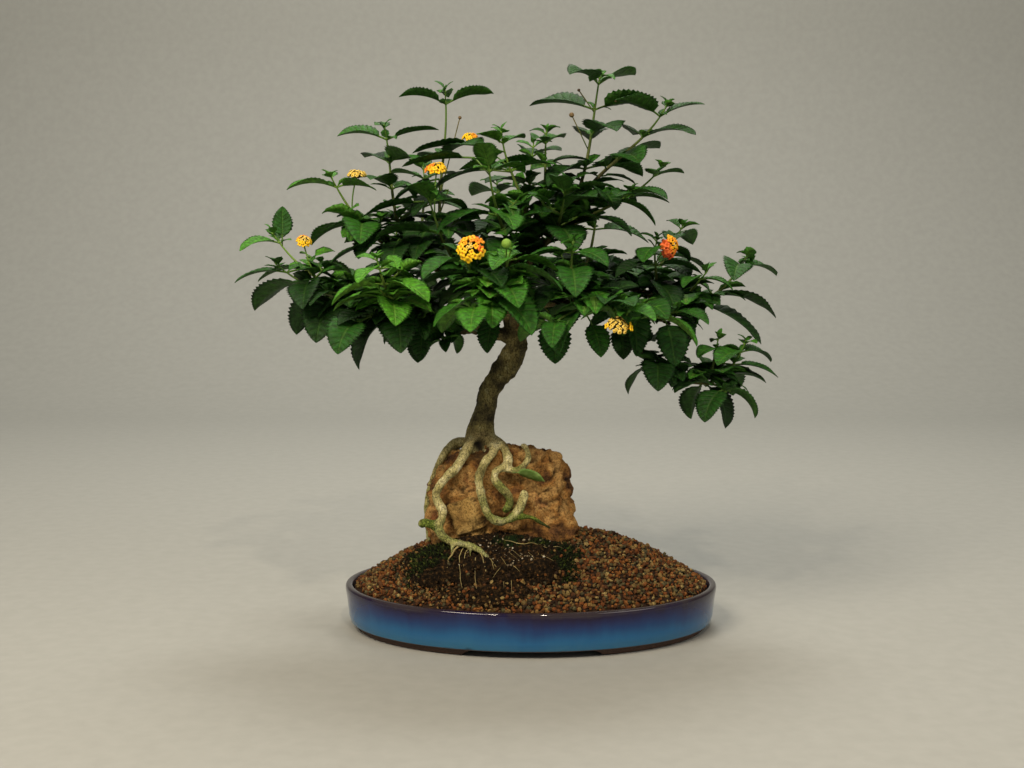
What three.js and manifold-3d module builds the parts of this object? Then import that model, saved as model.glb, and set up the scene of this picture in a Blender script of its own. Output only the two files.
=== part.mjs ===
// A lantana bonsai grown root-over-rock in a shallow oval glazed tray.
// Units are millimetres, +Z is up and +Y points away from the viewer. The tray's centre on the surface
// is the working origin; the finished group is shifted so that the origin is the middle of the footprint.

import * as THREE from 'three';
import { mergeVertices } from 'three/addons/utils/BufferGeometryUtils.js';
import Module from 'manifold-3d';

const wasm = await Module();
wasm.setup();
const { Manifold, Mesh } = wasm;

// Driving dimensions of the tray.
const TRAY_LENGTH = 374;
const TRAY_DEPTH = 260;
const RIM_HEIGHT = 45;
const FOOT_HEIGHT = 6;
const FLOOR_TOP = 14;
const WALL = 8;
const TRAY_SIDES = 32;

// Driving dimensions of the planting.
const GAP = 0.35;
const SLIVER = 0.1;
const GRAVEL_EDGE = 41;
const GRAVEL_CROWN = 56;
const PEAT_CENTRE = [-30, -28, 46];
const PEAT_SIZE = [104, 80, 55];
const ROCK_CENTRE = [-28, 3, 126];

// Driving dimensions of the foliage. Half width and petiole are shares of a blade's length, and a petiole
// starts the foot depth beyond the middle of its stem, so that it is always well sunk in.
const BLADE_HALF_THICKNESS = 0.6;
const BLADE_HALF_WIDTH = 0.32;
const PETIOLE_SHARE = 0.2;
const FOOT_DEPTH = 1.5;
const STEM_RADIUS = 1.5;
const TIP_RADIUS = 0.8;

const vec = (p) => new THREE.Vector3(...p);
const degrees = (angle) => angle * Math.PI / 180;

// A seeded draw from 0 to 1: the same pair of whole numbers always gives the same value.
function draw(row, column) {
  const s = Math.sin(row * 127.1 + column * 311.7) * 43758.5453;
  return s - Math.floor(s);
}

// Turns a closed three.js geometry into a solid that can be joined and cut.
function solidOf(geometry) {
  const bare = new THREE.BufferGeometry();
  bare.setAttribute('position', geometry.getAttribute('position'));
  if (geometry.index) bare.setIndex(geometry.index);
  const merged = mergeVertices(bare, 1e-4);
  return new Manifold(new Mesh({
    numProp: 3,
    vertProperties: new Float32Array(merged.attributes.position.array),
    triVerts: new Uint32Array(merged.index.array),
  }));
}

// Turns a solid back into a three.js geometry.
function geometryOf(solid) {
  const mesh = solid.getMesh();
  const points = new Float32Array(mesh.numVert * 3);
  for (let i = 0; i < mesh.numVert; i++) {
    points.set(mesh.vertProperties.subarray(i * mesh.numProp, i * mesh.numProp + 3), i * 3);
  }
  const geometry = new THREE.BufferGeometry();
  geometry.setAttribute('position', new THREE.BufferAttribute(points, 3));
  geometry.setIndex(new THREE.BufferAttribute(new Uint32Array(mesh.triVerts), 1));
  return geometry;
}

function geometryFrom(points, faces) {
  const geometry = new THREE.BufferGeometry();
  geometry.setAttribute('position', new THREE.Float32BufferAttribute(points.flat(), 3));
  geometry.setIndex(faces.flat());
  return geometry;
}

// The one body worth keeping after a cut: the largest.
function mainBody(solid) {
  return solid.decompose().sort((a, b) => b.volume() - a.volume())[0];
}

// A closed tube along a curve. Its radius runs evenly through the list of radii.
function taperedTube(curve, radii, sides, steps, grow = 0) {
  const frames = curve.computeFrenetFrames(steps, false);
  const points = [];
  const faces = [];
  for (let i = 0; i <= steps; i++) {
    const place = i / steps * (radii.length - 1);
    const left = Math.min(Math.floor(place), radii.length - 2);
    const radius = THREE.MathUtils.lerp(radii[left], radii[left + 1], place - left) + grow;
    const centre = curve.getPointAt(i / steps);
    if (i === 0) centre.addScaledVector(frames.tangents[0], -grow);
    if (i === steps) centre.addScaledVector(frames.tangents[steps], grow);
    for (let j = 0; j < sides; j++) {
      const turn = j / sides * 2 * Math.PI;
      const rim = centre.clone()
        .addScaledVector(frames.normals[i], Math.cos(turn) * radius)
        .addScaledVector(frames.binormals[i], Math.sin(turn) * radius);
      points.push(rim.toArray());
    }
  }
  for (let i = 0; i < steps; i++) {
    for (let j = 0; j < sides; j++) {
      const a = i * sides + j;
      const b = i * sides + (j + 1) % sides;
      faces.push([a, b, b + sides], [a, b + sides, a + sides]);
    }
  }
  const last = steps * sides;
  for (let j = 1; j < sides - 1; j++) {
    faces.push([0, j + 1, j], [last, last + j, last + j + 1]);
  }
  return solidOf(geometryFrom(points, faces));
}

const pathThrough = (points) => new THREE.CatmullRomCurve3(points.map(vec), false, 'catmullrom', 0.5);

// A closed turned form on an oval plan. Each profile point is [inset from the outline, height];
// the profile starts and ends on the axis.
function ovalTurned(length, depth, profile, axisStart, axisEnd, sides) {
  const points = [[0, 0, axisStart]];
  const faces = [];
  for (const [inset, height] of profile) {
    for (let j = 0; j < sides; j++) {
      const turn = j / sides * 2 * Math.PI;
      points.push([(length / 2 - inset) * Math.cos(turn), (depth / 2 - inset) * Math.sin(turn), height]);
    }
  }
  const rings = profile.length;
  points.push([0, 0, axisEnd]);
  const end = points.length - 1;
  for (let j = 0; j < sides; j++) {
    const next = (j + 1) % sides;
    faces.push([0, 1 + next, 1 + j]);
    for (let i = 0; i < rings - 1; i++) {
      const a = 1 + i * sides + j;
      const b = 1 + i * sides + next;
      faces.push([a, b, b + sides], [a, b + sides, a + sides]);
    }
    const top = 1 + (rings - 1) * sides;
    faces.push([top + j, top + next, end]);
  }
  return solidOf(geometryFrom(points, faces));
}

// The tray: an oval bowl with a low lip, two drain holes and a foot ring notched at front and back.
const HOLE_RADIUS = 8;
const HOLE_OFFSET = 82;
const NOTCH_LENGTH = 126;
const TRAY_PROFILE = [
  [8, FOOT_HEIGHT], [4.5, FOOT_HEIGHT + 1.5], [1.4, 36], [0, 41], [1.2, RIM_HEIGHT],
  [WALL - 1, RIM_HEIGHT], [WALL + 0.4, 42], [WALL + 5, FLOOR_TOP + 3], [WALL + 8, FLOOR_TOP],
];

function trayShape() {
  const bowl = ovalTurned(TRAY_LENGTH, TRAY_DEPTH, TRAY_PROFILE, FOOT_HEIGHT, FLOOR_TOP, TRAY_SIDES);
  const footOuter = ovalTurned(TRAY_LENGTH, TRAY_DEPTH, [[12.5, 0], [10.5, FOOT_HEIGHT + 2]],
    0, FOOT_HEIGHT + 2, TRAY_SIDES);
  const footInner = ovalTurned(TRAY_LENGTH, TRAY_DEPTH, [[24, -1], [24, FOOT_HEIGHT]],
    -1, FOOT_HEIGHT, TRAY_SIDES);
  const notch = new THREE.CylinderGeometry(
    (NOTCH_LENGTH / 2 + 3) * Math.SQRT2, (NOTCH_LENGTH / 2 - 3) * Math.SQRT2, FOOT_HEIGHT + 1, 4, 1);
  notch.rotateY(Math.PI / 4);
  notch.rotateX(-Math.PI / 2);
  notch.scale(1, TRAY_DEPTH / NOTCH_LENGTH * 2, 1);
  notch.translate(0, 0, (FOOT_HEIGHT + 1) / 2 - 1);
  const feet = footOuter.subtract(footInner).subtract(solidOf(notch));
  let tray = bowl.add(feet);
  for (const side of [-1, 1]) {
    const hole = new THREE.CylinderGeometry(HOLE_RADIUS, HOLE_RADIUS, 20, 12);
    hole.rotateX(Math.PI / 2);
    hole.translate(side * HOLE_OFFSET, 0, FLOOR_TOP - 4);
    tray = tray.subtract(solidOf(hole));
  }
  return tray;
}

// A square of coarse drain net that lies over each drain hole and keeps the gravel in.
const NET_SIZE = 26;
const NET_THICKNESS = 1;
const NET_PITCH = 9;
const NET_OPENING = 6;

function drainNet(side) {
  const block = (x, y, size, height) => solidOf(new THREE.BoxGeometry(size, size, height)
    .translate(side * HOLE_OFFSET + x, y, FLOOR_TOP + GAP + NET_THICKNESS / 2));
  let net = block(0, 0, NET_SIZE, NET_THICKNESS);
  for (const column of [-0.5, 0.5]) {
    for (const row of [-0.5, 0.5]) {
      net = net.subtract(block(column * NET_PITCH, row * NET_PITCH, NET_OPENING, NET_THICKNESS * 3));
    }
  }
  return net;
}

// The trunk, with its radius at even steps from the root crown to the fork.
const TRUNK = [
  [-52, 0, 176], [-50, 0, 196], [-45, 2, 220], [-41, 4, 238], [-31, 6, 252], [-20, 6, 268], [-14, 4, 284],
  [-16, 2, 300],
];
const TRUNK_RADII = [16, 14.2, 10.8, 9.8, 10.4, 11.6, 10.4, 8.5];

// Surface roots that clasp the rock: points, radii at even steps, sides and steps.
const ROOTS = {
  left_back: [[[-56, 4, 184], [-76, 8, 184], [-90, 4, 168], [-101, -2, 140], [-104, -6, 112], [-101, -10, 86]],
    [6, 5, 4.5, 4, 3.5], 5, 6],
  long_front: [[[-46, -6, 189], [-60, -20, 186], [-72, -36, 168], [-86, -42, 154], [-93, -44, 140],
    [-86, -47, 124], [-90, -52, 109], [-80, -57, 98], [-59, -67, 95], [-40, -80, 87]],
  [6.5, 6, 5.5, 5, 5.2, 5, 4, 2.4], 5, 10],
  hook: [[[-40, -4, 188], [-31, -24, 180], [-38, -38, 169], [-47, -44, 156], [-44, -46, 138], [-37, -49, 123],
    [-25, -51, 116], [-13, -50, 124], [-8, -46, 138], [-8, -43, 146]],
  [6, 5.4, 5, 5, 4.8, 4.8, 4.4, 4], 5, 10],
  inner_loop: [[[-40, -2, 190], [-28, -16, 178], [-24, -32, 168], [-35, -40, 162], [-36, -41, 154], [-27, -44, 145],
    [-21, -43, 134], [-27, -41, 122]],
  [6, 5, 5, 5, 5, 4.6], 5, 7],
  pale_curl: [[[-25, -36, 163], [-13, -41, 165], [-5, -42, 172], [-3, -41, 181], [-7, -38, 188], [-11, -37, 187]],
    [2.6, 2.6, 2.4, 2], 4, 5],
  right_low: [[[-16, -49, 119], [-2, -50, 120], [14, -47, 114], [30, -43, 107], [44, -46, 92]],
    [3.6, 3.2, 2.6, 2], 4, 4],
  left_stub: [[[-90, -50, 110], [-102, -49, 112], [-113, -45, 103], [-118, -40, 86]], [4.4, 4, 3.6, 3], 4, 4],
  rear_middle: [[[-50, 6, 188], [-48, 28, 178], [-42, 44, 156], [-48, 48, 130], [-40, 53, 104], [-30, 60, 76]],
    [6, 5.5, 5, 4.4, 3.6], 5, 5],
  rear_left: [[[-58, 6, 186], [-76, 26, 178], [-90, 38, 150], [-84, 46, 120], [-92, 50, 94], [-96, 52, 70]],
    [6, 5, 4.5, 4, 3.4], 5, 6],
  rear_right: [[[-46, 6, 187], [-34, 32, 180], [-12, 44, 162], [0, 48, 138], [-6, 50, 112], [0, 56, 84]],
    [5.5, 5, 4.6, 4, 3.2], 5, 5],
  thin_left: [[[-76, -59, 99], [-77, -68, 88], [-79, -78, 76], [-82, -88, 58]], [2, 1.6, 1.2], 3, 3],
  thin_middle: [[[-60, -66, 95], [-59, -74, 84], [-63, -84, 68]], [1.6, 1.4, 1.1], 3, 2],
  thin_right: [[[-46, -76, 88], [-40, -84, 78], [-40, -92, 60]], [1.8, 1.5, 1.1], 3, 2],
};

// The limbs that carry the crown, each starting inside what it grows from.
const LIMBS = {
  left_low: [[[-16, 2, 290], [-48, -6, 298], [-90, -14, 304], [-128, -22, 314], [-160, -30, 323]], [7, 5.5, 4.2, 2.6]],
  left_front: [[[-90, -14, 304], [-106, -50, 313], [-122, -88, 320]], [3.4, 2.8, 2.2]],
  left_back: [[[-60, -8, 300], [-86, 32, 314], [-116, 74, 326], [-140, 98, 332]], [4, 3, 2.3]],
  leader: [[[-16, 2, 296], [-25, 6, 322], [-22, 10, 352], [-8, 12, 382], [8, 8, 410]], [8, 6, 4.6, 2.8]],
  left_high: [[[-25, 6, 318], [-62, 2, 342], [-105, 0, 364], [-146, -2, 384]], [5, 3.6, 2.4]],
  right_low: [[[-14, 3, 288], [-1, -6, 309], [30, -10, 322], [70, -8, 327], [108, -10, 318], [138, -14, 304]],
    [8, 8.5, 4.8, 4, 3, 2.4]],
  right_drop: [[[70, -8, 327], [98, -12, 296], [118, -16, 265], [136, -18, 253], [170, -20, 246]], [3.4, 2.8, 2.2, 1.8]],
  right_mid: [[[-1, -6, 309], [38, 10, 338], [86, 16, 342], [126, 10, 330], [160, 4, 324]], [5, 4, 3, 2.3]],
  right_high: [[[-22, 9, 344], [8, 14, 376], [34, 13, 408], [60, 9, 442]], [4.6, 3.4, 2.4]],
  front: [[[-16, 0, 300], [-19, -38, 322], [-28, -76, 334], [-34, -108, 340]], [5, 3.6, 2.3]],
  front_right: [[[-18, -30, 318], [14, -56, 326], [44, -82, 330], [62, -102, 330]], [3.6, 3, 2.2]],
  back: [[[-17, 4, 298], [-14, 44, 324], [-12, 88, 342], [-10, 120, 352]], [5.4, 4, 2.4]],
  back_right: [[[-15, 34, 319], [24, 62, 336], [62, 86, 344], [92, 102, 346]], [4, 3, 2.3]],
};

const trunkPath = pathThrough(TRUNK);
const rootPaths = Object.values(ROOTS).map(([points, ...form]) => [pathThrough(points), ...form]);
const limbPaths = Object.fromEntries(Object.entries(LIMBS).map(([name, [points]]) => [name, pathThrough(points)]));

function rootSolid(grow) {
  const tubes = rootPaths.map(([path, radii, sides, steps]) => taperedTube(path, radii, sides, steps, grow));
  tubes.push(taperedTube(trunkPath, TRUNK_RADII, 8, 8, grow));
  return Manifold.union(tubes);
}

function limbSolid(grow) {
  const tubes = Object.entries(LIMBS).map(([name, [points, radii]]) =>
    taperedTube(limbPaths[name], radii, 5, points.length, grow));
  return Manifold.union(tubes);
}

// The rock: flats whose outward directions and distances are chosen by eye, softened where they meet,
// then broken by a few lumps and clefts. Each flat is [x, y, z, distance]; each lump is
// [x, y, z, height, width], its direction followed by how far it stands out.
const ROCK_FLATS = [
  [1, 0.1, 0.12, 67], [0.86, 0.1, -0.5, 72], [0.72, -0.1, 0.7, 78], [0.2, 0.1, 1, 57], [-0.45, 0.05, 0.9, 64],
  [-1, 0, 0.25, 74], [-1, 0.1, -0.4, 80], [0, -1, 0.12, 37], [0.5, -1, 0.3, 47], [-0.6, -1, 0.2, 56],
  [0, 1, 0.2, 38], [0.7, 1, 0.1, 56], [-0.6, 1, 0.2, 56], [0, 0, -1, 46], [0, -1, -0.7, 52], [0, 0.8, -1, 56],
];
const ROCK_LUMPS = [
  [0.1, -0.5, 0.9, -8, 0.3], [0.12, -0.9, 0.4, -7, 0.26], [-0.45, -1, -0.1, 6, 0.3], [-0.05, -1, -0.45, -6, 0.22],
  [0.75, -0.4, 0.75, 5, 0.3], [1, -0.2, 0.1, -4, 0.22], [1, -0.3, -0.35, 5, 0.3], [0.45, -0.6, 0.7, 3, 0.2],
  [-0.8, -0.6, 0.4, 4, 0.25], [0.3, 0.9, 0.5, -6, 0.3], [-0.5, 0.9, 0.1, 5, 0.3], [0.8, 0.6, 0.5, 4, 0.25],
];
const ROCK_SOFTNESS = 16;

function rockReach(direction) {
  let total = 0;
  for (const [x, y, z, distance] of ROCK_FLATS) {
    const flat = new THREE.Vector3(x, y, z).normalize();
    total += Math.max(0, flat.dot(direction) / distance) ** ROCK_SOFTNESS;
  }
  let reach = total ** (-1 / ROCK_SOFTNESS);
  for (const [x, y, z, height, width] of ROCK_LUMPS) {
    const away = new THREE.Vector3(x, y, z).normalize().distanceTo(direction);
    reach += height * Math.exp(-((away / width) ** 2));
  }
  return reach;
}

function rockShape(grow) {
  const geometry = new THREE.IcosahedronGeometry(1, 3);
  const position = geometry.getAttribute('position');
  const point = new THREE.Vector3();
  for (let i = 0; i < position.count; i++) {
    point.fromBufferAttribute(position, i).normalize();
    point.multiplyScalar(rockReach(point) + grow).add(vec(ROCK_CENTRE));
    position.setXYZ(i, point.x, point.y, point.z);
  }
  return solidOf(new THREE.BufferGeometry().setAttribute('position', position));
}

// The peat that the roots were grown in: a lumpy dome, wider than it is high.
function peatShape(grow) {
  const geometry = new THREE.IcosahedronGeometry(1, 3);
  const position = geometry.getAttribute('position');
  const point = new THREE.Vector3();
  for (let i = 0; i < position.count; i++) {
    point.fromBufferAttribute(position, i).normalize();
    const lumps = 1 + 0.035 * Math.sin(7 * point.x + 2) * Math.cos(6 * point.y) + 0.03 * Math.sin(11 * point.y + 5 * point.z);
    point.multiply(vec(PEAT_SIZE)).multiplyScalar(lumps + grow / PEAT_SIZE[2]).add(vec(PEAT_CENTRE));
    point.z = Math.max(point.z, FLOOR_TOP + 4 - grow);
    position.setXYZ(i, point.x, point.y, point.z);
  }
  return solidOf(new THREE.BufferGeometry().setAttribute('position', position));
}

// The height of the gravel above the surface, lowest at the rim and highest near the rock.
const gravelHeight = (share) => GRAVEL_EDGE + GRAVEL_CROWN * (1 - share ** 1.5);

function gravelShape() {
  const inset = WALL + GAP;
  const rings = [0.84, 0.62, 0.34];
  const profile = [
    [inset + 9, FLOOR_TOP + GAP + NET_THICKNESS + GAP], [inset + 6, FLOOR_TOP + 5], [inset + 0.7, GRAVEL_EDGE],
  ];
  for (const share of rings) {
    profile.push([inset + (1 - share) * (TRAY_DEPTH / 2 - inset), gravelHeight(share)]);
  }
  const floor = FLOOR_TOP + GAP + NET_THICKNESS + GAP;
  const bed = ovalTurned(TRAY_LENGTH, TRAY_DEPTH, profile, floor, gravelHeight(0.1), TRAY_SIDES);
  return bed;
}

// Leafy shoots: the limb and how far along it the shoot starts, the place of its tip, its leaf pairs, the
// length of its largest blades, how far the tip turns up or hangs down, how young it is, and the bearing in
// degrees between its last two leaf pairs, where 0 points right and 90 points back.
const SHOOTS = {
  top_right: ['right_high', 0.7, [66, 5, 541], 4, 58, 0.4, 0.2, 2],
  top_far_right: ['right_high', 1, [126, -6, 508], 3, 54, 0.4, 0.2, -28],
  upper_right: ['right_high', 0.42, [120, -14, 450], 3, 42, 0.4, 0.3, 30],
  top_left: ['left_high', 0.4, [-84, 6, 523], 3, 56, 0.3, 0.2, -28],
  upper_left: ['left_high', 0.72, [-142, 0, 487], 4, 50, 0.5, 0.2, -28],
  left_rise: ['left_high', 1, [-190, -14, 439], 2, 52, 0.4, 0.5, 150],
  left_tip: ['left_low', 0.86, [-250, 4, 386], 3, 46, 0.6, 0.6, 215],
  left_reach: ['left_low', 1, [-236, -42, 357], 3, 58, 0.3, 0.1, 165],
  left_skirt: ['left_low', 0.66, [-190, -70, 338], 3, 40, -0.2, 0.0, 240],
  bright_front: ['left_front', 1, [-138, -128, 362], 3, 46, 0.5, 1.0, 200],
  hanging_front: ['left_front', 0.62, [-160, -104, 312], 3, 52, -0.5, 0.0, 250],
  left_curtain: ['left_front', 0.28, [-112, -80, 314], 2, 42, -0.5, 0.1, 300],
  small_rosette: ['left_low', 0.4, [-84, -38, 290], 2, 24, -0.5, 0.2, 270],
  front_low: ['front', 0.9, [-52, -140, 326], 3, 54, -0.3, 0.5, 250],
  bloom_front: ['front', 0.72, [-62, -118, 368], 3, 50, 0.4, 0.1, 190],
  bud_front: ['front', 1, [-22, -136, 370], 3, 48, 0.5, 0.5, 10],
  centre_left: ['left_high', 0.2, [-96, -72, 424], 3, 50, 0.7, 0.2, 200],
  centre_front: ['leader', 0.46, [-40, -84, 452], 4, 52, 0.8, 0.4, 210],
  centre_high: ['leader', 0.8, [-28, -12, 482], 3, 42, 0.7, 0.5, 190],
  centre_crown: ['leader', 1, [14, -2, 482], 3, 42, 0.6, 0.3, 20],
  centre_right: ['right_high', 0.36, [30, -84, 430], 3, 54, 0.6, 0.2, 340],
  right_shoulder: ['right_high', 0.84, [88, -58, 428], 3, 46, 0.5, 0.2, 330],
  right_bloom: ['right_mid', 0.66, [118, -44, 380], 3, 46, 0.3, 0.1, 20],
  right_spray: ['right_mid', 0.84, [164, -30, 350], 2, 34, 0.3, 0.3, 350],
  right_tip: ['right_mid', 1, [206, -8, 362], 2, 56, 0.6, 0.2, 10],
  right_skirt: ['right_low', 0.9, [138, -42, 318], 1, 38, -0.2, 0.1, 330],
  right_hang: ['right_drop', 0.62, [122, -34, 268], 1, 52, -0.9, 0.0, 238],
  right_drop_up: ['right_drop', 0.97, [180, -26, 282], 2, 30, 0.9, 0.3, 170],
  right_drop_tip: ['right_drop', 1, [205, -20, 278], 3, 46, 0.8, 0.2, 10],
  right_drop_low: ['right_drop', 0.9, [186, -40, 242], 2, 46, -0.8, 0.0, 330],
  right_front: ['right_low', 0.62, [112, -72, 314], 3, 54, -0.3, 0.4, 320],
  front_right_low: ['front_right', 0.86, [20, -124, 312], 2, 46, -0.5, 0.3, 250],
  front_right_tip: ['front_right', 1, [78, -128, 322], 3, 44, 0.1, 0.4, 300],
  front_right_up: ['front_right', 0.5, [36, -100, 376], 3, 48, 0.6, 0.2, 300],
  back_left_low: ['left_back', 1, [-192, 122, 340], 2, 52, 0.3, 0.1, 140],
  back_left_up: ['left_back', 0.8, [-142, 100, 412], 3, 50, 0.7, 0.3, 120],
  back_left_high: ['left_high', 0.56, [-110, 76, 452], 3, 50, 0.7, 0.3, 130],
  back_low: ['back', 0.8, [-60, 160, 330], 2, 50, -0.2, 0.0, 100],
  back_tip: ['back', 1, [6, 162, 366], 2, 52, 0.4, 0.2, 80],
  back_up: ['back', 0.56, [-34, 112, 438], 3, 52, 0.8, 0.2, 90],
  back_high: ['leader', 0.62, [2, 62, 474], 3, 48, 0.7, 0.3, 70],
  back_right_tip: ['back_right', 1, [142, 118, 360], 2, 52, 0.3, 0.2, 50],
  back_right_low: ['back_right', 0.72, [76, 146, 326], 2, 50, -0.2, 0.1, 60],
  back_right_up: ['back_right', 0.5, [72, 96, 426], 3, 50, 0.7, 0.3, 40],
  right_rear: ['right_mid', 0.54, [152, 66, 392], 3, 48, 0.5, 0.2, 30],
};
const FIRST_PAIR = 0.36;
const LAST_PAIR = 0.98;
const HELD_VOLUME = 0.02;
const SWEEP = 0.9;

// Blades low in the crown hang more: by this many degrees from this height down.
const LOW_SAG = 30;
const HANGING_SAG = 40;
const SAG_TOP = 480;
const SAG_SPAN = 110;

// The stem of a shoot: a cubic curve that leaves the limb along it and turns up, or down, towards its tip.
function stemPath([limb, along, tip, , , rise]) {
  const start = limbPaths[limb].getPoint(along);
  const end = vec(tip);
  const reach = end.clone().sub(start);
  const span = reach.length();
  const leaving = reach.clone().multiplyScalar(0.6 / span)
    .addScaledVector(limbPaths[limb].getTangent(along), 0.8).normalize();
  const arriving = reach.clone().divideScalar(span).add(new THREE.Vector3(0, 0, rise)).normalize();
  return new THREE.CubicBezierCurve3(start, start.clone().addScaledVector(leaving, span * 0.35),
    end.clone().addScaledVector(arriving, span * -0.35), end);
}

// The turns, tilts and sizes that a blade tries in order until it clears what stands near it:
// [turn in degrees, tilt in degrees, share of its size].
const TRIES = [
  [0, 0, 1], [12, 0, 1], [-12, 0, 1], [0, 12, 1], [0, -12, 1], [20, 10, 1], [-20, 10, 1], [20, -10, 1],
  [-20, -10, 1], [30, 0, 0.92], [-30, 0, 0.92], [0, 24, 0.92], [0, -24, 0.92], [35, 18, 0.88], [-35, 18, 0.88],
  [35, -18, 0.88], [-35, -18, 0.88], [50, 0, 0.84], [-50, 0, 0.84], [0, 36, 0.84], [0, -36, 0.84],
  [45, 28, 0.76], [-45, 28, 0.76], [45, -28, 0.76], [-45, -28, 0.76], [0, 0, 0.64], [25, 0, 0.64], [-25, 0, 0.64],
  [0, 20, 0.64], [0, -20, 0.64], [60, 20, 0.64], [-60, 20, 0.64],
];

// How one blade grows: its foot on the stem, its bearing, its length and how its midrib bends and rolls.
function leafPlan(shootNumber, shoot, stem, pair, side, attempt) {
  const [, , , pairs, size, rise, , turn] = shoot;
  const seed = shootNumber * 40 + pair * 2 + side;
  const age = pairs === 1 ? 1 : pair / (pairs - 1);
  const along = FIRST_PAIR + (LAST_PAIR - FIRST_PAIR) * age ** 0.85;
  const foot = stem.getPoint(along);
  const tangent = stem.getTangent(along);
  const upright = Math.abs(tangent.z);
  const [extraTurn, extraTilt, share] = TRIES[attempt];
  const step = (pair - (pairs - 1.6)) * (34 + 30 * upright);
  const bearing = degrees(turn + step + side * 180 + 24 * (draw(seed, 1) - 0.5));
  const x = Math.cos(bearing) + SWEEP * tangent.x;
  const y = Math.sin(bearing) + SWEEP * tangent.y;
  const heading = Math.atan2(y, x) + degrees(extraTurn);
  const sag = HANGING_SAG * Math.max(0, -rise) + LOW_SAG * THREE.MathUtils.smoothstep(SAG_TOP - foot.z, 0, SAG_SPAN);
  return {
    foot,
    heading,
    length: size * (1 - 0.2 * age ** 2.6) * (0.88 + 0.24 * draw(seed, 2)) * share,
    tiltStart: degrees(22 + 8 * age - 0.5 * sag + 10 * (draw(seed, 3) - 0.5) + extraTilt),
    tiltEnd: degrees(-24 + 12 * age - sag + 18 * (draw(seed, 4) - 0.5) + extraTilt),
    roll: degrees(36 * (draw(seed, 5) - 0.5)),
    fold: degrees(10 + 14 * draw(seed, 6)),
  };
}

// A point of a blade: share is 0 at the blade's base and 1 at its tip, and negative along the stalk;
// across is how far the point lies from the midrib; lift is its height above the blade.
function leafPoint(plan, share, across, lift) {
  const stalk = PETIOLE_SHARE * plan.length;
  const total = stalk + plan.length;
  const travelled = stalk + share * plan.length;
  const bend = (plan.tiltEnd - plan.tiltStart) / total;
  const tilt = plan.tiltStart + bend * travelled;
  const out = (Math.sin(tilt) - Math.sin(plan.tiltStart)) / bend;
  const up = (Math.cos(plan.tiltStart) - Math.cos(tilt)) / bend;
  const ahead = new THREE.Vector3(Math.cos(plan.heading), Math.sin(plan.heading), 0);
  const left = new THREE.Vector3(-ahead.y, ahead.x, 0);
  const normal = ahead.clone().multiplyScalar(-Math.sin(tilt)).add(new THREE.Vector3(0, 0, Math.cos(tilt)));
  const crosswise = left.clone().multiplyScalar(Math.cos(plan.roll)).addScaledVector(normal, Math.sin(plan.roll));
  const raised = normal.multiplyScalar(Math.cos(plan.roll)).addScaledVector(left, -Math.sin(plan.roll));
  return plan.foot.clone().addScaledVector(ahead, out).add(new THREE.Vector3(0, 0, up))
    .addScaledVector(crosswise, across).addScaledVector(raised, lift);
}

// Half the width of a blade, as a share of its greatest half width.
const ovate = (share) => share ** 0.5 * (1 - share) ** 0.9 / 0.4016;

// Teeth of the margin: [share along the blade, how far out the margin stands there]. Small blades have fewer.
const MARGIN = [[0.22, 1.04], [0.29, 0.88], [0.5, 1.05], [0.57, 0.86], [0.77, 1.06]];
const SMALL_MARGIN = [[0.3, 1.05], [0.42, 0.9], [0.64, 1.08]];
const SMALL_BLADE = 56;

// A closed blade on a three-sided stalk: a ridge along the midrib above and below, thinning to a toothed
// margin. The faces are listed for the upper left quarter and mirrored for the others.
function leafSolid(plan) {
  const small = plan.length < SMALL_BLADE;
  const teeth = small ? SMALL_MARGIN : MARGIN;
  const halfWidth = BLADE_HALF_WIDTH * plan.length;
  const points = [];
  const add = (share, across, lift) => points.push(leafPoint(plan, share, across, lift).toArray()) - 1;
  const foot = add(-PETIOLE_SHARE - FOOT_DEPTH / plan.length, 0, 0);
  const tip = add(1, 0, 0);
  const neck = add(0, 0, 2 * BLADE_HALF_THICKNESS);
  const ribs = [1, -1].map((face) => (small ? [0.42] : [0.3, 0.62])
    .map((share) => add(share, 0, face * BLADE_HALF_THICKNESS)));
  const margins = [1, -1].map((hand) => [
    add(0, hand * 0.8, 0),
    ...teeth.map(([share, stand]) => {
      const reach = halfWidth * ovate(share) * stand;
      return add(share, hand * reach * Math.cos(plan.fold), reach * Math.sin(plan.fold));
    }),
    tip,
  ]);
  const blade = small
    ? ([r1], [, e1, e2, e3, e4]) => [[r1, e2, e1], [r1, e3, e2], [r1, e4, e3]]
    : ([r1, r2], [, e1, e2, e3, e4, e5, e6]) => [
      [r1, e2, e1], [r1, e3, e2], [r1, r2, e3], [r2, e4, e3], [r2, e5, e4], [r2, e6, e5],
    ];
  const faces = [[ribs[1][0], margins[1][0], margins[0][0]], [foot, margins[0][0], margins[1][0]]];
  ribs.forEach((rib, below) => margins.forEach((margin, right) => {
    const [side, shoulder] = margin;
    const base = below
      ? [[rib[0], shoulder, side]]
      : [[neck, shoulder, side], [neck, rib[0], shoulder], [foot, neck, side]];
    for (const [a, b, c] of [...base, ...blade(rib, margin)]) {
      faces.push(below === right ? [a, b, c] : [a, c, b]);
    }
  }));
  return solidOf(geometryFrom(points, faces));
}

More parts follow.
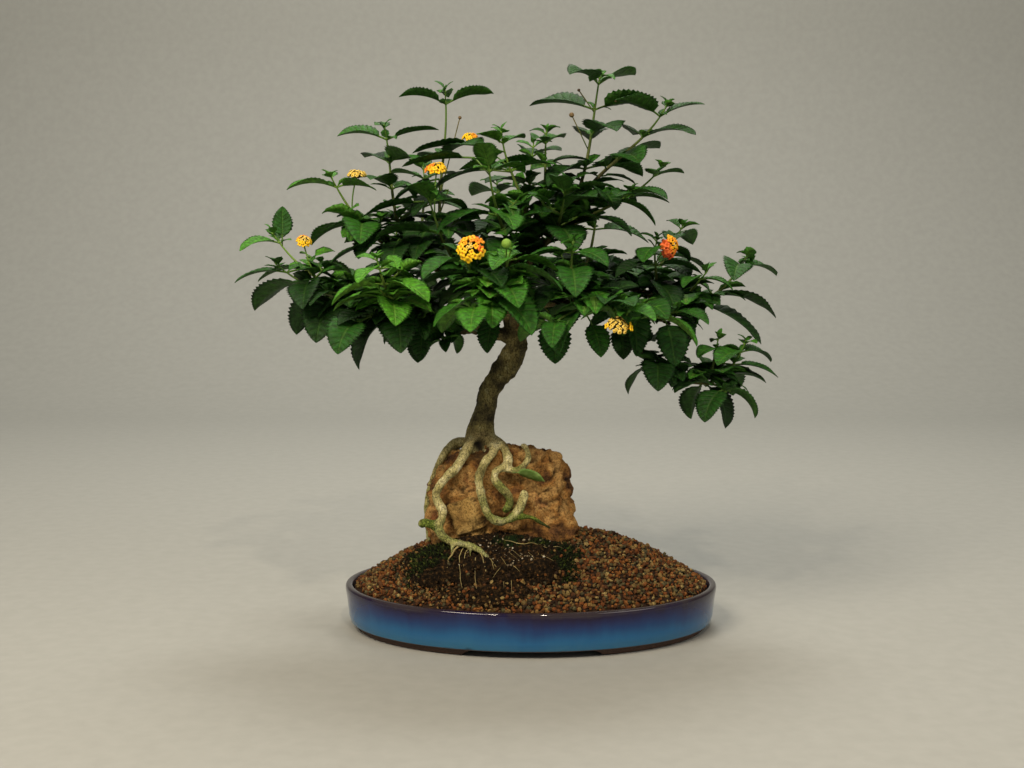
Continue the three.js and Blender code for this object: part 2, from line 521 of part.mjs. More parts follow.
// Flower heads: the shoot that carries each, how far along its stem the stalk leaves, the place of the
// head, the way it faces, its radius and its florets in the outer ring.
const HEADS = {
  head_front: ['bloom_front', 0.8, [-55, -152, 380], [-0.1, -1, 0.3], 14, 8],
  head_upper_left: ['centre_left', 0.86, [-90, -66, 453], [-0.1, -0.35, 1], 12, 7],
  head_left: ['left_rise', 0.6, [-169, -24, 449], [0, -0.2, 1], 11, 7],
  head_far_left: ['left_reach', 0.5, [-219, -34, 386], [0.2, -0.6, 0.8], 9, 5],
  head_top: ['centre_high', 0.75, [-60, 2, 487], [0, -0.3, 1], 9, 5],
  head_right: ['right_bloom', 0.72, [130, -52, 380], [0.7, -0.7, -0.1], 13, 7],
  head_low_right: ['front_right_tip', 0.7, [76, -138, 311], [0.1, -0.7, 0.8], 12, 7],
};

// Stalks whose flowers have dropped or aren't open yet: the shoot, how far along its stem, the stalk's end and
// the radius of its knob.
const SPENT = [
  ['top_right', 0.78, [46, -3, 532], 1.6],
  ['top_right', 0.8, [82, -2, 522], 1.6],
  ['top_right', 0.5, [39, -6, 508], 2.6],
  ['top_left', 0.5, [-70, 2, 506], 1.8],
  ['bud_front', 0.8, [-24, -152, 384], 4.5],
];

// A floret: a funnel that opens to four lobes round a sunken throat.
function floretSolid(centre, facing, radius, depth, spin) {
  const turn = new THREE.Quaternion().setFromUnitVectors(new THREE.Vector3(0, 0, 1), facing);
  const place = (x, y, z) => new THREE.Vector3(x, y, z).applyQuaternion(turn).add(centre).toArray();
  const points = [place(0, 0, -depth), place(0, 0, -radius * 0.3)];
  const faces = [];
  const lobes = 4;
  for (let j = 0; j < lobes; j++) {
    const angle = j / lobes * 2 * Math.PI + spin;
    points.push(place(radius * Math.cos(angle), radius * Math.sin(angle), 0));
    const next = (j + 1) % lobes;
    faces.push([0, 2 + next, 2 + j], [1, 2 + j, 2 + next]);
  }
  return solidOf(geometryFrom(points, faces));
}

// A head: a small domed core covered by florets in rings.
function headSolid(number, [, , place, facing, radius, outer]) {
  const axis = vec(facing).normalize();
  const turn = new THREE.Quaternion().setFromUnitVectors(new THREE.Vector3(0, 0, 1), axis);
  const core = new THREE.IcosahedronGeometry(radius * 0.62, 0);
  core.scale(1, 1, 0.8).applyQuaternion(turn).translate(...place);
  const parts = [solidOf(core)];
  const rings = [[outer, 64], [Math.max(3, Math.round(outer / 2)), 26]];
  rings.forEach(([count, lean], ring) => {
    for (let j = 0; j < count; j++) {
      const bearing = (j + 0.5 * ring) / count * 2 * Math.PI;
      const tilt = degrees(lean + 8 * (draw(number * 30 + ring * 15 + j, 7) - 0.5));
      const facingFloret = new THREE.Vector3(
        Math.sin(tilt) * Math.cos(bearing), Math.sin(tilt) * Math.sin(bearing), Math.cos(tilt)).applyQuaternion(turn);
      const centre = vec(place).addScaledVector(facingFloret, radius * (ring ? 0.86 : 0.92));
      parts.push(floretSolid(centre, facingFloret, radius * 0.3, radius * 0.6, bearing));
    }
  });
  return mainBody(Manifold.union(parts).simplify(SLIVER));
}

// The flower stalk runs from the stem to just below its head, which it is shortened to clear.
function stalkPath(stem, along, place, facing, radius, head) {
  const start = stem.getPoint(along);
  for (let share = 0.3; ; share += 0.02) {
    const end = vec(place).addScaledVector(vec(facing).normalize(), -radius * share);
    const middle = start.clone().lerp(end, 0.5)
      .addScaledVector(stem.getTangent(along), start.distanceTo(end) * 0.12);
    const path = new THREE.QuadraticBezierCurve3(start, middle, end);
    if (taperedTube(path, [0.8, 0.8], 4, 3).minGap(head, 1) >= GAP) return path;
  }
}

// Grows the whole crown. What is placed later keeps clear of what is already there.
function growCrown(wood) {
  const names = Object.keys(SHOOTS);
  const stems = names.map((name) => stemPath(SHOOTS[name]));
  const nearWood = limbSolid(GAP);
  const heads = Object.fromEntries(Object.entries(HEADS).map(([name, head], i) => [name, headSolid(i, head)]));
  const stemForms = names.map((name, i) => (grow) => {
    const parts = [taperedTube(stems[i], [STEM_RADIUS * 1.25, STEM_RADIUS, TIP_RADIUS], 4, 3, grow)];
    for (const [head, [carrier, start, place, facing, radius]] of Object.entries(HEADS)) {
      if (carrier !== name) continue;
      parts.push(taperedTube(stalkPath(stems[i], start, place, facing, radius, heads[head]), [0.8, 0.8], 4, 3, grow));
    }
    for (const [carrier, start, end, knob] of SPENT) {
      if (carrier !== name) continue;
      parts.push(taperedTube(new THREE.LineCurve3(stems[i].getPoint(start), vec(end)), [0.7, 0.6], 4, 1, grow));
      parts.push(solidOf(new THREE.OctahedronGeometry(knob + grow).translate(...end)));
    }
    return Manifold.union(parts);
  });
  const built = [];
  for (const form of stemForms) {
    let thin = form(0).subtract(nearWood);
    for (const other of built) thin = thin.subtract(other.wide);
    built.push({ wide: form(GAP), thin: mainBody(thin), leaves: [] });
  }
  const obstacles = [wood, ...Object.values(heads)].map((solid) => ({ solid, box: solid.boundingBox(), owner: -1 }));
  built.forEach((entry, i) => obstacles.push({ solid: entry.thin, box: entry.thin.boundingBox(), owner: i, stem: true }));
  const apart = (a, b) => [0, 1, 2].some((k) => a.min[k] > b.max[k] + GAP || b.min[k] > a.max[k] + GAP);
  let dropped = 0;
  const order = [];
  names.forEach((name, i) => {
    for (let pair = SHOOTS[name][3] - 1; pair >= 0; pair--) order.push([i, name, pair]);
  });
  order.sort((a, b) => b[2] / SHOOTS[b[1]][3] - a[2] / SHOOTS[a[1]][3] || a[0] - b[0]);
  for (const [i, name, pair] of order) {
    for (const side of [0, 1]) {
      let placed = null;
      for (let attempt = 0; attempt < TRIES.length && !placed; attempt++) {
        const blade = leafSolid(leafPlan(i, SHOOTS[name], stems[i], pair, side, attempt));
        const box = blade.boundingBox();
        const held = blade.intersect(built[i].thin).volume() > HELD_VOLUME;
        const blocked = !held || obstacles.some((near) => {
          if (near.owner === i && (near.stem || near.pair === pair) || apart(box, near.box)) return false;
          return blade.minGap(near.solid, 1) < (near.owner === i ? 0.1 : GAP);
        });
        if (!blocked) placed = { solid: blade, box, owner: i, pair };
      }
      if (placed) {
        obstacles.push(placed);
        built[i].leaves.push(placed.solid);
      } else {
        dropped += 1;
      }
    }
  }
  console.log('leaves', built.reduce((sum, entry) => sum + entry.leaves.length, 0), 'dropped', dropped);
  const shoots = Object.fromEntries(names.map((name, i) => {
    const grown = Manifold.union([built[i].thin, ...built[i].leaves]).simplify(SLIVER);
    const loose = grown.decompose().length - 1;
    if (loose) console.log('loose pieces dropped from', name, loose);
    return [name, mainBody(grown)];
  }));
  return { shoots, heads };
}

// A dropped leaf: it starts in front of the rock and slides back until it lies against it.
function fallenLeaf(rock, wood) {
  const leaf = leafSolid({
    foot: new THREE.Vector3(-18, -54, 163), heading: degrees(-8), length: 27, tiltStart: degrees(-6),
    tiltEnd: degrees(-26), roll: degrees(-48), fold: degrees(10),
  });
  const clear = (back) => [rock, wood].every((solid) => leaf.translate([0, back, 0]).minGap(solid, 1) >= GAP);
  let back = 0;
  while (clear(back + 0.2)) back += 0.2;
  return leaf.translate([0, back, 0]);
}

const COLOURS = {
  tray: [0x2f5f92, 0.2], wood: [0x6f6148, 0.85], rock: [0x96703f, 0.9], peat: [0x2c2217, 0.95],
  gravel: [0x8a6a4c, 0.95], leaf: [0x1f5a24, 0.5], young: [0x4f9a3a, 0.5], flower: [0xf2a21c, 0.6],
  net: [0x202020, 0.6],
};

function named(name, solid, [colour, roughness]) {
  const material = new THREE.MeshStandardMaterial({ color: colour, roughness, metalness: 0 });
  const mesh = new THREE.Mesh(geometryOf(solid), material);
  mesh.name = name;
  return mesh;
}

const roots = rootSolid(0);
const nearRoots = rootSolid(GAP);
const wood = mainBody(roots.add(limbSolid(0)).simplify(4 * SLIVER));
const rock = mainBody(rockShape(0).subtract(nearRoots));
const peat = mainBody(peatShape(0).subtract(rockShape(GAP)).subtract(nearRoots));
const gravel = mainBody(gravelShape().subtract(peatShape(GAP)).subtract(rockShape(GAP)).subtract(nearRoots));
const { shoots, heads } = growCrown(wood);

const bonsai = new THREE.Group();
bonsai.add(named('tray', trayShape(), COLOURS.tray));
bonsai.add(named('drain_net_left', drainNet(-1), COLOURS.net));
bonsai.add(named('drain_net_right', drainNet(1), COLOURS.net));
bonsai.add(named('gravel', gravel, COLOURS.gravel));
bonsai.add(named('peat', peat, COLOURS.peat));
bonsai.add(named('rock', rock, COLOURS.rock));
bonsai.add(named('trunk_and_roots', wood, COLOURS.wood));
bonsai.add(named('fallen_leaf', fallenLeaf(rock, wood), COLOURS.young));
for (const [name, solid] of Object.entries(shoots)) {
  bonsai.add(named(`shoot_${name}`, solid, SHOOTS[name][6] > 0.4 ? COLOURS.young : COLOURS.leaf));
}
for (const [name, solid] of Object.entries(heads)) bonsai.add(named(`flower_${name}`, solid, COLOURS.flower));

// The origin goes to the middle of the footprint, at the height of the surface that the feet stand on.
const reach = new THREE.Box3().setFromObject(bonsai);
bonsai.position.set(-(reach.min.x + reach.max.x) / 2, -(reach.min.y + reach.max.y) / 2, 0);
bonsai.updateMatrixWorld(true);

export default bonsai;
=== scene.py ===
# %% [markdown]
# A lantana bonsai, dressed over its CAD frame
# The tree is a shrubby lantana trained over a stone and planted in a shallow oval tray. The CAD frame
# gives every part its place; this lesson adds what a frame leaves out: glaze, grit, bark, veins, petals.
# Places are worked out in millimetres from the middle of the tray, as in the part's source, and turned
# into metres in one place only, where a mesh is made.

# %% The frame and the shared place
import math

import bpy
import numpy as np
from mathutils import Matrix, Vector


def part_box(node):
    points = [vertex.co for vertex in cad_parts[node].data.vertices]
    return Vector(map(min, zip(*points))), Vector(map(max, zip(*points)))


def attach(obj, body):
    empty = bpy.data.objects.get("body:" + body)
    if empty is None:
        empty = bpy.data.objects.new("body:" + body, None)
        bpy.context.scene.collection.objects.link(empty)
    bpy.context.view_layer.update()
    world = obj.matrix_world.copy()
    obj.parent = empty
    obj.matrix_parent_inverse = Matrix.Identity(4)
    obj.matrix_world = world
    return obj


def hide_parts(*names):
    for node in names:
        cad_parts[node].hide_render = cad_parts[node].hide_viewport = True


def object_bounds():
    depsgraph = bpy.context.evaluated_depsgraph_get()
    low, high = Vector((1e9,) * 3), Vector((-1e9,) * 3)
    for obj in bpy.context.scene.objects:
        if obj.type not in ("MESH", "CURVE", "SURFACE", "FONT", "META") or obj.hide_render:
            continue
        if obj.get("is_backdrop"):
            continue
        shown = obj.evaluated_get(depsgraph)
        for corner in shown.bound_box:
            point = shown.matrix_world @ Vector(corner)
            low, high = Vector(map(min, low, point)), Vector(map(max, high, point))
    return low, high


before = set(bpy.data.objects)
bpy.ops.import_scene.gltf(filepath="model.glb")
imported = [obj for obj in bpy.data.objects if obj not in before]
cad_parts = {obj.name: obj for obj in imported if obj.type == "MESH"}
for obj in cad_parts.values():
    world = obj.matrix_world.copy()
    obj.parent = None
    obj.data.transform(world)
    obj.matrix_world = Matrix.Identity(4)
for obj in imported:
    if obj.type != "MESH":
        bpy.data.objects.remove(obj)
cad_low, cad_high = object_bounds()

tray_low, tray_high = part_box("tray")
SHIFT = np.array([tray_low.x + tray_high.x, tray_low.y + tray_high.y, 0.0]) * 500
BOX_LOW = np.array(cad_low) * 1000 - SHIFT
BOX_HIGH = np.array(cad_high) * 1000 - SHIFT
print("tray centre in the frame, mm:", SHIFT.round(2), "box:", BOX_LOW.round(1), BOX_HIGH.round(1))

# %% [markdown]
# Meshes from arrays
# A mesh is a list of points and a list of faces that number those points. A skin here is a dictionary
# with both, and with one value a point for each pattern that a finish follows, such as how young a leaf
# is. Bmesh could build the same faces one by one; whole arrays are used because there are many thousands.

# %% Skins, grids and pieces
def unit(vectors):
    """Each vector divided by its own length."""
    vectors = np.asarray(vectors, float)
    return vectors / np.linalg.norm(vectors, axis=-1, keepdims=True)


def turns(count):
    """Even steps round a circle, in radians from 0."""
    return np.arange(count) / count * 2 * math.pi


def grid_faces(rows, columns):
    """Quads between neighbouring rows of a grid of points whose last column joins its first."""
    row, column = np.meshgrid(np.arange(rows - 1), np.arange(columns), indexing="ij")
    here = row * columns + column
    beside = row * columns + (column + 1) % columns
    return np.stack([here, beside, beside + columns, here + columns], -1).reshape(-1, 4)


def closed_faces(rows, columns, count=1):
    """The quads of a closed grid and a cap over its first and last row, for count grids in a row."""
    starts = (np.arange(count) * rows * columns)[:, None, None]
    ring = np.arange(columns)
    quads = (grid_faces(rows, columns)[None] + starts).reshape(-1, 4)
    caps = np.stack([ring[::-1], ring + (rows - 1) * columns])
    return [quads, (caps[None] + starts).reshape(-1, columns)]


def skin_of(points, faces=None, **values):
    """A skin of points with each value spread over them. Without faces of its own it is closed grids."""
    shape = points.shape[:-1]
    if faces is None:
        faces = closed_faces(shape[-2], shape[-1], math.prod(shape[:-2]))
    values = {key: np.broadcast_to(value, shape).ravel() for key, value in values.items()}
    return {"points": points.reshape(-1, 3), "faces": faces, **values}


def joined(parts):
    """Skins as one: their points follow each other, and their face numbers are moved on to match."""
    starts = np.cumsum([0] + [len(part["points"]) for part in parts[:-1]])
    whole = {key: np.concatenate([part[key] for part in parts]) for key in parts[0] if key != "faces"}
    whole["faces"] = [block + start for part, start in zip(parts, starts) for block in part["faces"]]
    return whole


def mesh_of(name, skin):
    """Puts a skin into a mesh in metres: mm from the tray's centre, moved by SHIFT and divided by 1000.

    The values u and v become the mesh's map, and the others become attributes.
    """
    mesh = bpy.data.meshes.new(name)
    rows = [row for block in skin["faces"] for row in block.tolist()]
    mesh.from_pydata(((skin["points"] + SHIFT) / 1000).tolist(), [], rows)
    for key in skin:
        if key not in ("points", "faces", "u", "v"):
            mesh.attributes.new(key, "FLOAT", "POINT").data.foreach_set("value", skin[key].astype(np.float32))
    if "u" in skin:
        corners = np.empty(len(mesh.loops), int)
        mesh.loops.foreach_get("vertex_index", corners)
        at_corners = np.stack([skin["u"], skin["v"]], -1)[corners].ravel().astype(np.float32)
        mesh.uv_layers.new(name="UVMap").data.foreach_set("uv", at_corners)
    return mesh


def new_object(name, data):
    """An object for a mesh, a lamp or a camera, linked into the scene."""
    made = bpy.data.objects.new(name, data)
    bpy.context.scene.collection.objects.link(made)
    return made


PIECE_SIZES = {}


def make_piece(name, skin, finish, stands_for=(), smooth=True):
    """Makes a skin, or a mesh, into a piece that rides on the root body and takes its finish from a slot."""
    mesh = skin if isinstance(skin, bpy.types.Mesh) else mesh_of(name, skin)
    mesh.polygons.foreach_set("use_smooth", np.full(len(mesh.polygons), smooth))
    mesh.materials.clear()
    mesh.materials.append(finish)
    piece = new_object(name, mesh)
    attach(piece, "root")
    if stands_for:
        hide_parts(*stands_for)
    corners = np.empty(len(mesh.polygons), int)
    mesh.polygons.foreach_get("loop_total", corners)
    PIECE_SIZES[name] = int((corners - 2).sum())
    print("made", name, "of", PIECE_SIZES[name], "triangles")


# %% [markdown]
# Finishes from nodes
# Every finish is a small tree of nodes that ends in one Principled shader. The tree is written out node
# by node with one helper, which sets a node's own options, its input values and its links. Colours are
# given as the hex values that a colour picker shows, so they are turned from sRGB to linear first.

# %% Colours and nodes
def linear(code):
    """An sRGB hex value as linear red, green, blue and full alpha, by the sRGB curve."""
    parts = np.array([int(code[i:i + 2], 16) for i in (1, 3, 5)]) / 255
    flat = np.where(parts <= 0.04045, parts / 12.92, ((parts + 0.055) / 1.055) ** 2.4)
    return (*flat.tolist(), 1.0)


def add(tree, kind, inputs=None, stops=None, **settings):
    """Adds a node: settings are its options, inputs its values or links, stops the colours of its ramp.

    A node given as an input is linked by its first output, or a Mix node by the third, which is its colour.
    """
    made = tree.nodes.new("ShaderNode" + kind)
    for option, value in settings.items():
        setattr(made, option, value)
    for key, value in (inputs or {}).items():
        if isinstance(value, bpy.types.Node):
            value = value.outputs[2 if value.type == "MIX" else 0]
        if isinstance(value, bpy.types.NodeSocket):
            tree.links.new(value, made.inputs[key])
        else:
            made.inputs[key].default_value = value
    for place, (position, code) in enumerate(stops or []):
        element = made.color_ramp.elements[place] if place < 2 else made.color_ramp.elements.new(position)
        element.position = position
        element.color = linear(code)
    return made


def new_finish(name):
    """An empty node tree for a finish, with the place on the object as its first node."""
    finish = bpy.data.materials.new(name)
    finish.use_nodes = True
    finish.node_tree.nodes.clear()
    return finish, finish.node_tree, add(finish.node_tree, "TexCoord").outputs["Object"]


def shade(tree, inputs):
    """Ends a finish: one Principled shader with these inputs, and the output."""
    add(tree, "OutputMaterial", {"Surface": add(tree, "BsdfPrincipled", inputs)})


# %% [markdown]
# Natural roughness in the mesh
# Stone, bark and peat are rough at several sizes at once. Blender's own textures can displace a mesh, but
# a few lines of numpy keep the same roughness for the shape and for deciding where moss or grit lies.

# %% Noise and seeded draws
def soft_noise(points, grain, seed=0):
    """Value noise from -1 to 1: a fixed draw at each corner of a lattice of cubes, joined smoothly."""
    place = np.asarray(points, float) / grain
    cell = np.floor(place).astype(np.int64)
    part = place - cell
    part = part * part * (3 - 2 * part)
    total = 0.0
    for corner in np.ndindex(2, 2, 2):
        at = cell + corner
        mixed = (at[..., 0] * 73856093) ^ (at[..., 1] * 19349663) ^ (at[..., 2] * 83492791) ^ (seed * 7919)
        mixed = (mixed ^ (mixed >> 13)) * 1274126177
        value = ((mixed ^ (mixed >> 16)) & 0xFFFF) / 65535.0
        total = total + np.prod(np.where(corner, part, 1 - part), -1) * value
    return 2 * total - 1


def layered_noise(points, grain, layers=3, seed=0):
    """Noise of several grains added up, each half as coarse and half as strong as the one before."""
    return sum(soft_noise(points, grain / 2 ** k, seed + k) / 2 ** k for k in range(layers))


def draw(row, column):
    """The same seeded draw from 0 to 1 as in the part's source: the fraction of a large sine."""
    large = np.sin(row * 127.1 + column * 311.7) * 43758.5453
    return large - np.floor(large)


def smooth_between(value, low, high):
    """0 below low, 1 above high, and a smooth cubic rise between them."""
    share = np.clip((value - low) / (high - low), 0, 1)
    return share * share * (3 - 2 * share)


def nearness(points, centre, reach, power=4):
    """1 at a centre and 0 past its reach: e to the minus of a power of the distance, counted in reaches."""
    return np.exp(-np.linalg.norm((points - np.array(centre)) / reach, axis=-1) ** power)


rng = np.random.default_rng(20)

# %% [markdown]
# Camera, floor and light
# The view is slightly downwards, from a little above the tree's middle and well back. The light is soft: a
# large lamp in front on the left does most of the work, a weaker one on the right opens the shadows, one
# at the back picks out the crown, and a pale world fills. Two small lamps put the glints on the glaze and
# the leaves. The floor curves up well behind the tree and has a lamp of its own, so that no edge shows.

# %% Camera
# The focal length and the horizon's rise over the picture's middle are in pixels of a picture that is
# PICTURE_WIDTH wide. The camera's place is in mm.
PICTURE_WIDTH = 1024
FOCAL_LENGTH = 1400
HORIZON_RISE = 145
SENSOR_WIDTH = 36
CAMERA_PLACE = np.array([-19, -1387, 388])
camera_data = bpy.data.cameras.new("view")
camera_data.sensor_width = SENSOR_WIDTH
camera_data.lens = FOCAL_LENGTH / PICTURE_WIDTH * SENSOR_WIDTH
camera = new_object("view", camera_data)
camera.location = (CAMERA_PLACE + SHIFT) / 1000
camera.rotation_euler = (math.pi / 2 - math.atan(HORIZON_RISE / FOCAL_LENGTH), 0, 0)
bpy.context.scene.camera = camera

# %% Lamps and world
TREE = (0, 0, 0.28)
SWEEP = (0, 2.6, 0.9)
LAMPS = {
    # where it hangs and what it points at in metres, its diameter in metres, its watts and its colour
    "key_left": [(-1.1, -1.5, 1.9), TREE, 0.9, 40, "#ffefd9"],
    "small_right": [(0.25, -1.7, 1.75), TREE, 0.1, 13, "#ffedd4"],
    "small_left": [(-0.55, -1.6, 1.6), TREE, 0.1, 9, "#ffedd4"],
    "fill_right": [(1.5, -1.2, 1.3), TREE, 1.2, 9, "#fff6ec"],
    "top_back": [(0.2, 0.9, 2.0), TREE, 1.0, 14, "#fffaf2"],
    "sweep_wash": [(0, 1.0, 2.9), SWEEP, 1.4, 38, "#fffcf6"],
}
for name, (place, target, size, watts, colour) in LAMPS.items():
    lamp_data = bpy.data.lights.new(name, "AREA")
    lamp_data.shape = "DISK"
    lamp_data.size = size
    lamp_data.energy = watts
    lamp_data.color = linear(colour)[:3]
    lamp = new_object(name, lamp_data)
    lamp.location = place
    aim = unit(np.array(target) - np.array(place))
    lamp.rotation_euler = (math.acos(-aim[2]), 0, math.atan2(-aim[0], aim[1]))

world = bpy.data.worlds.new("pale_room")
world.use_nodes = True
background = world.node_tree.nodes["Background"]
background.inputs["Color"].default_value = linear("#c6c5c0")
background.inputs["Strength"].default_value = 0.42
bpy.context.scene.world = world
# The plain transform keeps the flowers' strong colours strong.
bpy.context.scene.view_settings.view_transform = "Standard"

# %% Floor
# All in metres: how far the floor goes, where it starts to curve up, the curve's radius and its height.
FLOOR_REACH = 40
CURVE_START = 1.6
CURVE_RADIUS = 1.0
SWEEP_HEIGHT = 6
pale_floor, tree, place = new_finish("matt_pale_floor")
speckle = add(tree, "TexNoise", {"Vector": place, "Scale": 60.0})
tone = add(tree, "ValToRGB", {"Fac": speckle}, [(0.3, "#9d9e98"), (0.7, "#a2a39d")])
shade(tree, {"Base Color": tone, "Roughness": 0.7})
turn = np.linspace(0, math.pi / 2, 28)
depth = CURVE_START + CURVE_RADIUS * np.sin(turn)
rise = CURVE_RADIUS * (1 - np.cos(turn))
rows = [(-FLOOR_REACH, 0), *zip(depth, rise), (depth[-1], SWEEP_HEIGHT)]
sweep = [(side, y, z) for y, z in rows for side in (-FLOOR_REACH, FLOOR_REACH)]
floor_mesh = bpy.data.meshes.new("floor")
floor_mesh.from_pydata(sweep, [], [(k, k + 1, k + 3, k + 2) for k in range(0, len(sweep) - 2, 2)])
floor_mesh.polygons.foreach_set("use_smooth", np.full(len(floor_mesh.polygons), True))
floor_mesh.materials.append(pale_floor)
floor = new_object("floor", floor_mesh)
floor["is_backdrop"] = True

# %% [markdown]
# The tray
# The form is an oval carried round a profile, so two numbers, the way round and the place on the profile,
# give every point. The profile's corners are rounded with short curves, because a glazed edge is never
# sharp. The drain holes are cut at the end.

# %% The tray's profile
HALF_LENGTH = 187.0
HALF_DEPTH = 130.0
# Inset from the outline and height, from the underside over the lip to the floor inside, in mm.
TRAY_PROFILE = [
    [18, 6], [9.5, 6.2], [5.2, 7.4], [3.6, 14], [1.9, 30], [0.6, 38.5], [0.3, 41.5], [0.9, 44.2], [2.6, 45],
    [5.6, 45], [7.3, 44.2], [8.2, 41], [9.6, 30], [13, 17], [17, 14], [24, 14],
]
FOOT_PROFILE = [[17, 8], [24, 8], [24, 1], [23, 0], [13.4, 0], [11.6, 1.2], [10.6, 8], [17, 8]]
# Arches part the ring of the foot into four low feet: half their length at the top and at the floor.
ARCH_HALVES = (57, 68)
ARCH_HEIGHT = 6.6
HOLE_PLACE = 82.0
HOLE_RADIUS = 8


def rounded(profile, radius, steps=4):
    """Replaces each inner corner by a quadratic curve that starts and ends a radius before and after it."""
    profile = np.asarray(profile, float)
    made = [profile[:1]]
    t = np.linspace(0, 1, steps)[:, None]
    for before, corner, after in zip(profile[:-2], profile[1:-1], profile[2:]):
        back, ahead = before - corner, after - corner
        start = corner + unit(back) * min(radius, np.linalg.norm(back) / 2)
        end = corner + unit(ahead) * min(radius, np.linalg.norm(ahead) / 2)
        made.append((1 - t) ** 2 * start + 2 * (1 - t) * t * corner + t ** 2 * end)
    made.append(profile[-1:])
    return np.concatenate(made)


def oval_rows(rows, sides):
    """Rows of [inset, height, share]: an oval that much smaller than the outline, shrunk to the share."""
    turn = turns(sides)
    inset, height, share = (np.asarray(rows, float)[:, k, None] for k in range(3))
    x = (HALF_LENGTH - inset) * share * np.cos(turn)
    y = (HALF_DEPTH - inset) * share * np.sin(turn)
    return np.stack(np.broadcast_arrays(x, y, height), -1)


# %% The tray's skin and its feet
SIDES = 192
# The rows of the skin from just inside the lip to the middle of the floor.
INNER_ROWS = 26
profile = rounded(TRAY_PROFILE, 1.6)
wall = np.column_stack([profile, np.ones(len(profile))])
under = [[18, 6, share] for share in (0.02, 0.35, 0.7)]
floor_rows = [[24, 14, share] for share in (0.7, 0.35, 0.02)]
rows = np.concatenate([under, wall, floor_rows])
points = oval_rows(rows, SIDES)
inner = np.arange(len(rows)) >= len(rows) - INNER_ROWS
bowl = skin_of(points, inside=inner[:, None])

foot_profile = rounded(FOOT_PROFILE, 1.0, 3)
ring = oval_rows(np.column_stack([foot_profile, np.ones(len(foot_profile))]), SIDES)
arch = 1 - smooth_between(np.abs(ring[..., 0]), *ARCH_HALVES)
ring[..., 2] = np.maximum(ring[..., 2], ARCH_HEIGHT * arch)
foot = skin_of(ring, [grid_faces(len(ring), SIDES)], inside=0.0)


# %% Modifiers and the drain holes' cutters
def evaluated(mesh, *modifiers):
    """A mesh after modifiers: each is its type and its settings. The object that carries them is removed."""
    carrier = new_object("carrier", mesh)
    for kind, settings in modifiers:
        modifier = carrier.modifiers.new(kind.lower(), kind)
        for option, value in settings.items():
            setattr(modifier, option, value)
    graph = bpy.context.evaluated_depsgraph_get()
    made = bpy.data.meshes.new_from_object(carrier.evaluated_get(graph))
    bpy.data.objects.remove(carrier)
    return made


def hole_cutter(x):
    """A round cutter 16 mm across and 20 mm long, upright at x."""
    turn = turns(48)
    circle = [x + HOLE_RADIUS * np.cos(turn), HOLE_RADIUS * np.sin(turn)]
    rows = np.stack([np.stack([*circle, np.full(48, height)], -1) for height in (0.0, 20.0)])
    return skin_of(rows)


# %% [markdown]
# The glaze
# Blue reduction glaze on brown stoneware. Its colour follows its thickness: violet and brown where it has
# run thin over the lip, deep blue under it, and clouded teal where it pooled low on the wall, with fine
# vertical runs. It is glassy, so it gets a low roughness and a thin clear coat. The feet were wiped
# before firing and stay matt. Height drives the ramp, and stretched noise makes the runs.

# %% Glaze on stoneware
# In metres, as the shader reads it. The ramp over it runs from the foot, at 0, to the lip, at 1.
TRAY_HEIGHT = 0.045
glaze, tree, place = new_finish("blue_glaze_on_brown_stoneware")
height = add(tree, "SeparateXYZ", {"Vector": place}).outputs["Z"]
stretched = add(tree, "Mapping", {"Vector": place, "Scale": (1.0, 1.0, 0.16)})
runs = add(tree, "TexNoise", {"Vector": stretched, "Scale": 90.0, "Detail": 3.0})
clouds = add(tree, "TexNoise", {"Vector": place, "Scale": 14.0, "Detail": 4.0})
level = add(tree, "Math", {0: height, 1: 1 / TRAY_HEIGHT}, operation="MULTIPLY")
shift = add(tree, "Math", {0: runs, 1: 0.16, 2: -0.08}, operation="MULTIPLY_ADD")
drift = add(tree, "Math", {0: clouds, 1: 0.42, 2: -0.21}, operation="MULTIPLY_ADD")
level = add(tree, "Math", {0: level, 1: shift}, operation="ADD")
level = add(tree, "Math", {0: level, 1: drift}, operation="ADD")
wall_colour = add(tree, "ValToRGB", {"Fac": level}, [
    (0.07, "#0a1620"), (0.15, "#2c6688"), (0.42, "#1b5886"), (0.63, "#163a6a"), (0.79, "#1a2450"),
    (0.91, "#180f30"), (1.0, "#30282c"),
])
speck = add(tree, "TexNoise", {"Vector": place, "Scale": 700.0, "Detail": 2.0})
clay = add(tree, "ValToRGB", {"Fac": speck}, [(0.3, "#33221a"), (0.7, "#4d3528")])
lip = add(tree, "ValToRGB", {"Fac": speck}, [(0.3, "#2b2730"), (0.7, "#443e47")])
inside = add(tree, "Attribute", attribute_name="inside").outputs["Fac"]
glazed = add(tree, "Mix", {0: inside, 6: wall_colour, 7: lip}, data_type="RGBA")
raw_line = add(tree, "Math", {0: runs, 1: 0.0006, 2: 0.0078}, operation="MULTIPLY_ADD")
covered = add(tree, "Math", {0: height, 1: raw_line}, operation="GREATER_THAN")
colour = add(tree, "Mix", {0: covered, 6: clay, 7: glazed}, data_type="RGBA")
gloss = add(tree, "MapRange", {"Value": covered, "To Min": 0.75, "To Max": 0.05})
ripple = add(tree, "TexNoise", {"Vector": place, "Scale": 120.0, "Detail": 2.0})
bump = add(tree, "Bump", {"Height": ripple, "Strength": 0.12, "Distance": 0.0006})
shade(tree, {"Base Color": colour, "Roughness": gloss, "Normal": bump, "Coat Weight": 0.2,
             "Coat Roughness": 0.04, "IOR": 1.48, "Specular IOR Level": 0.4})

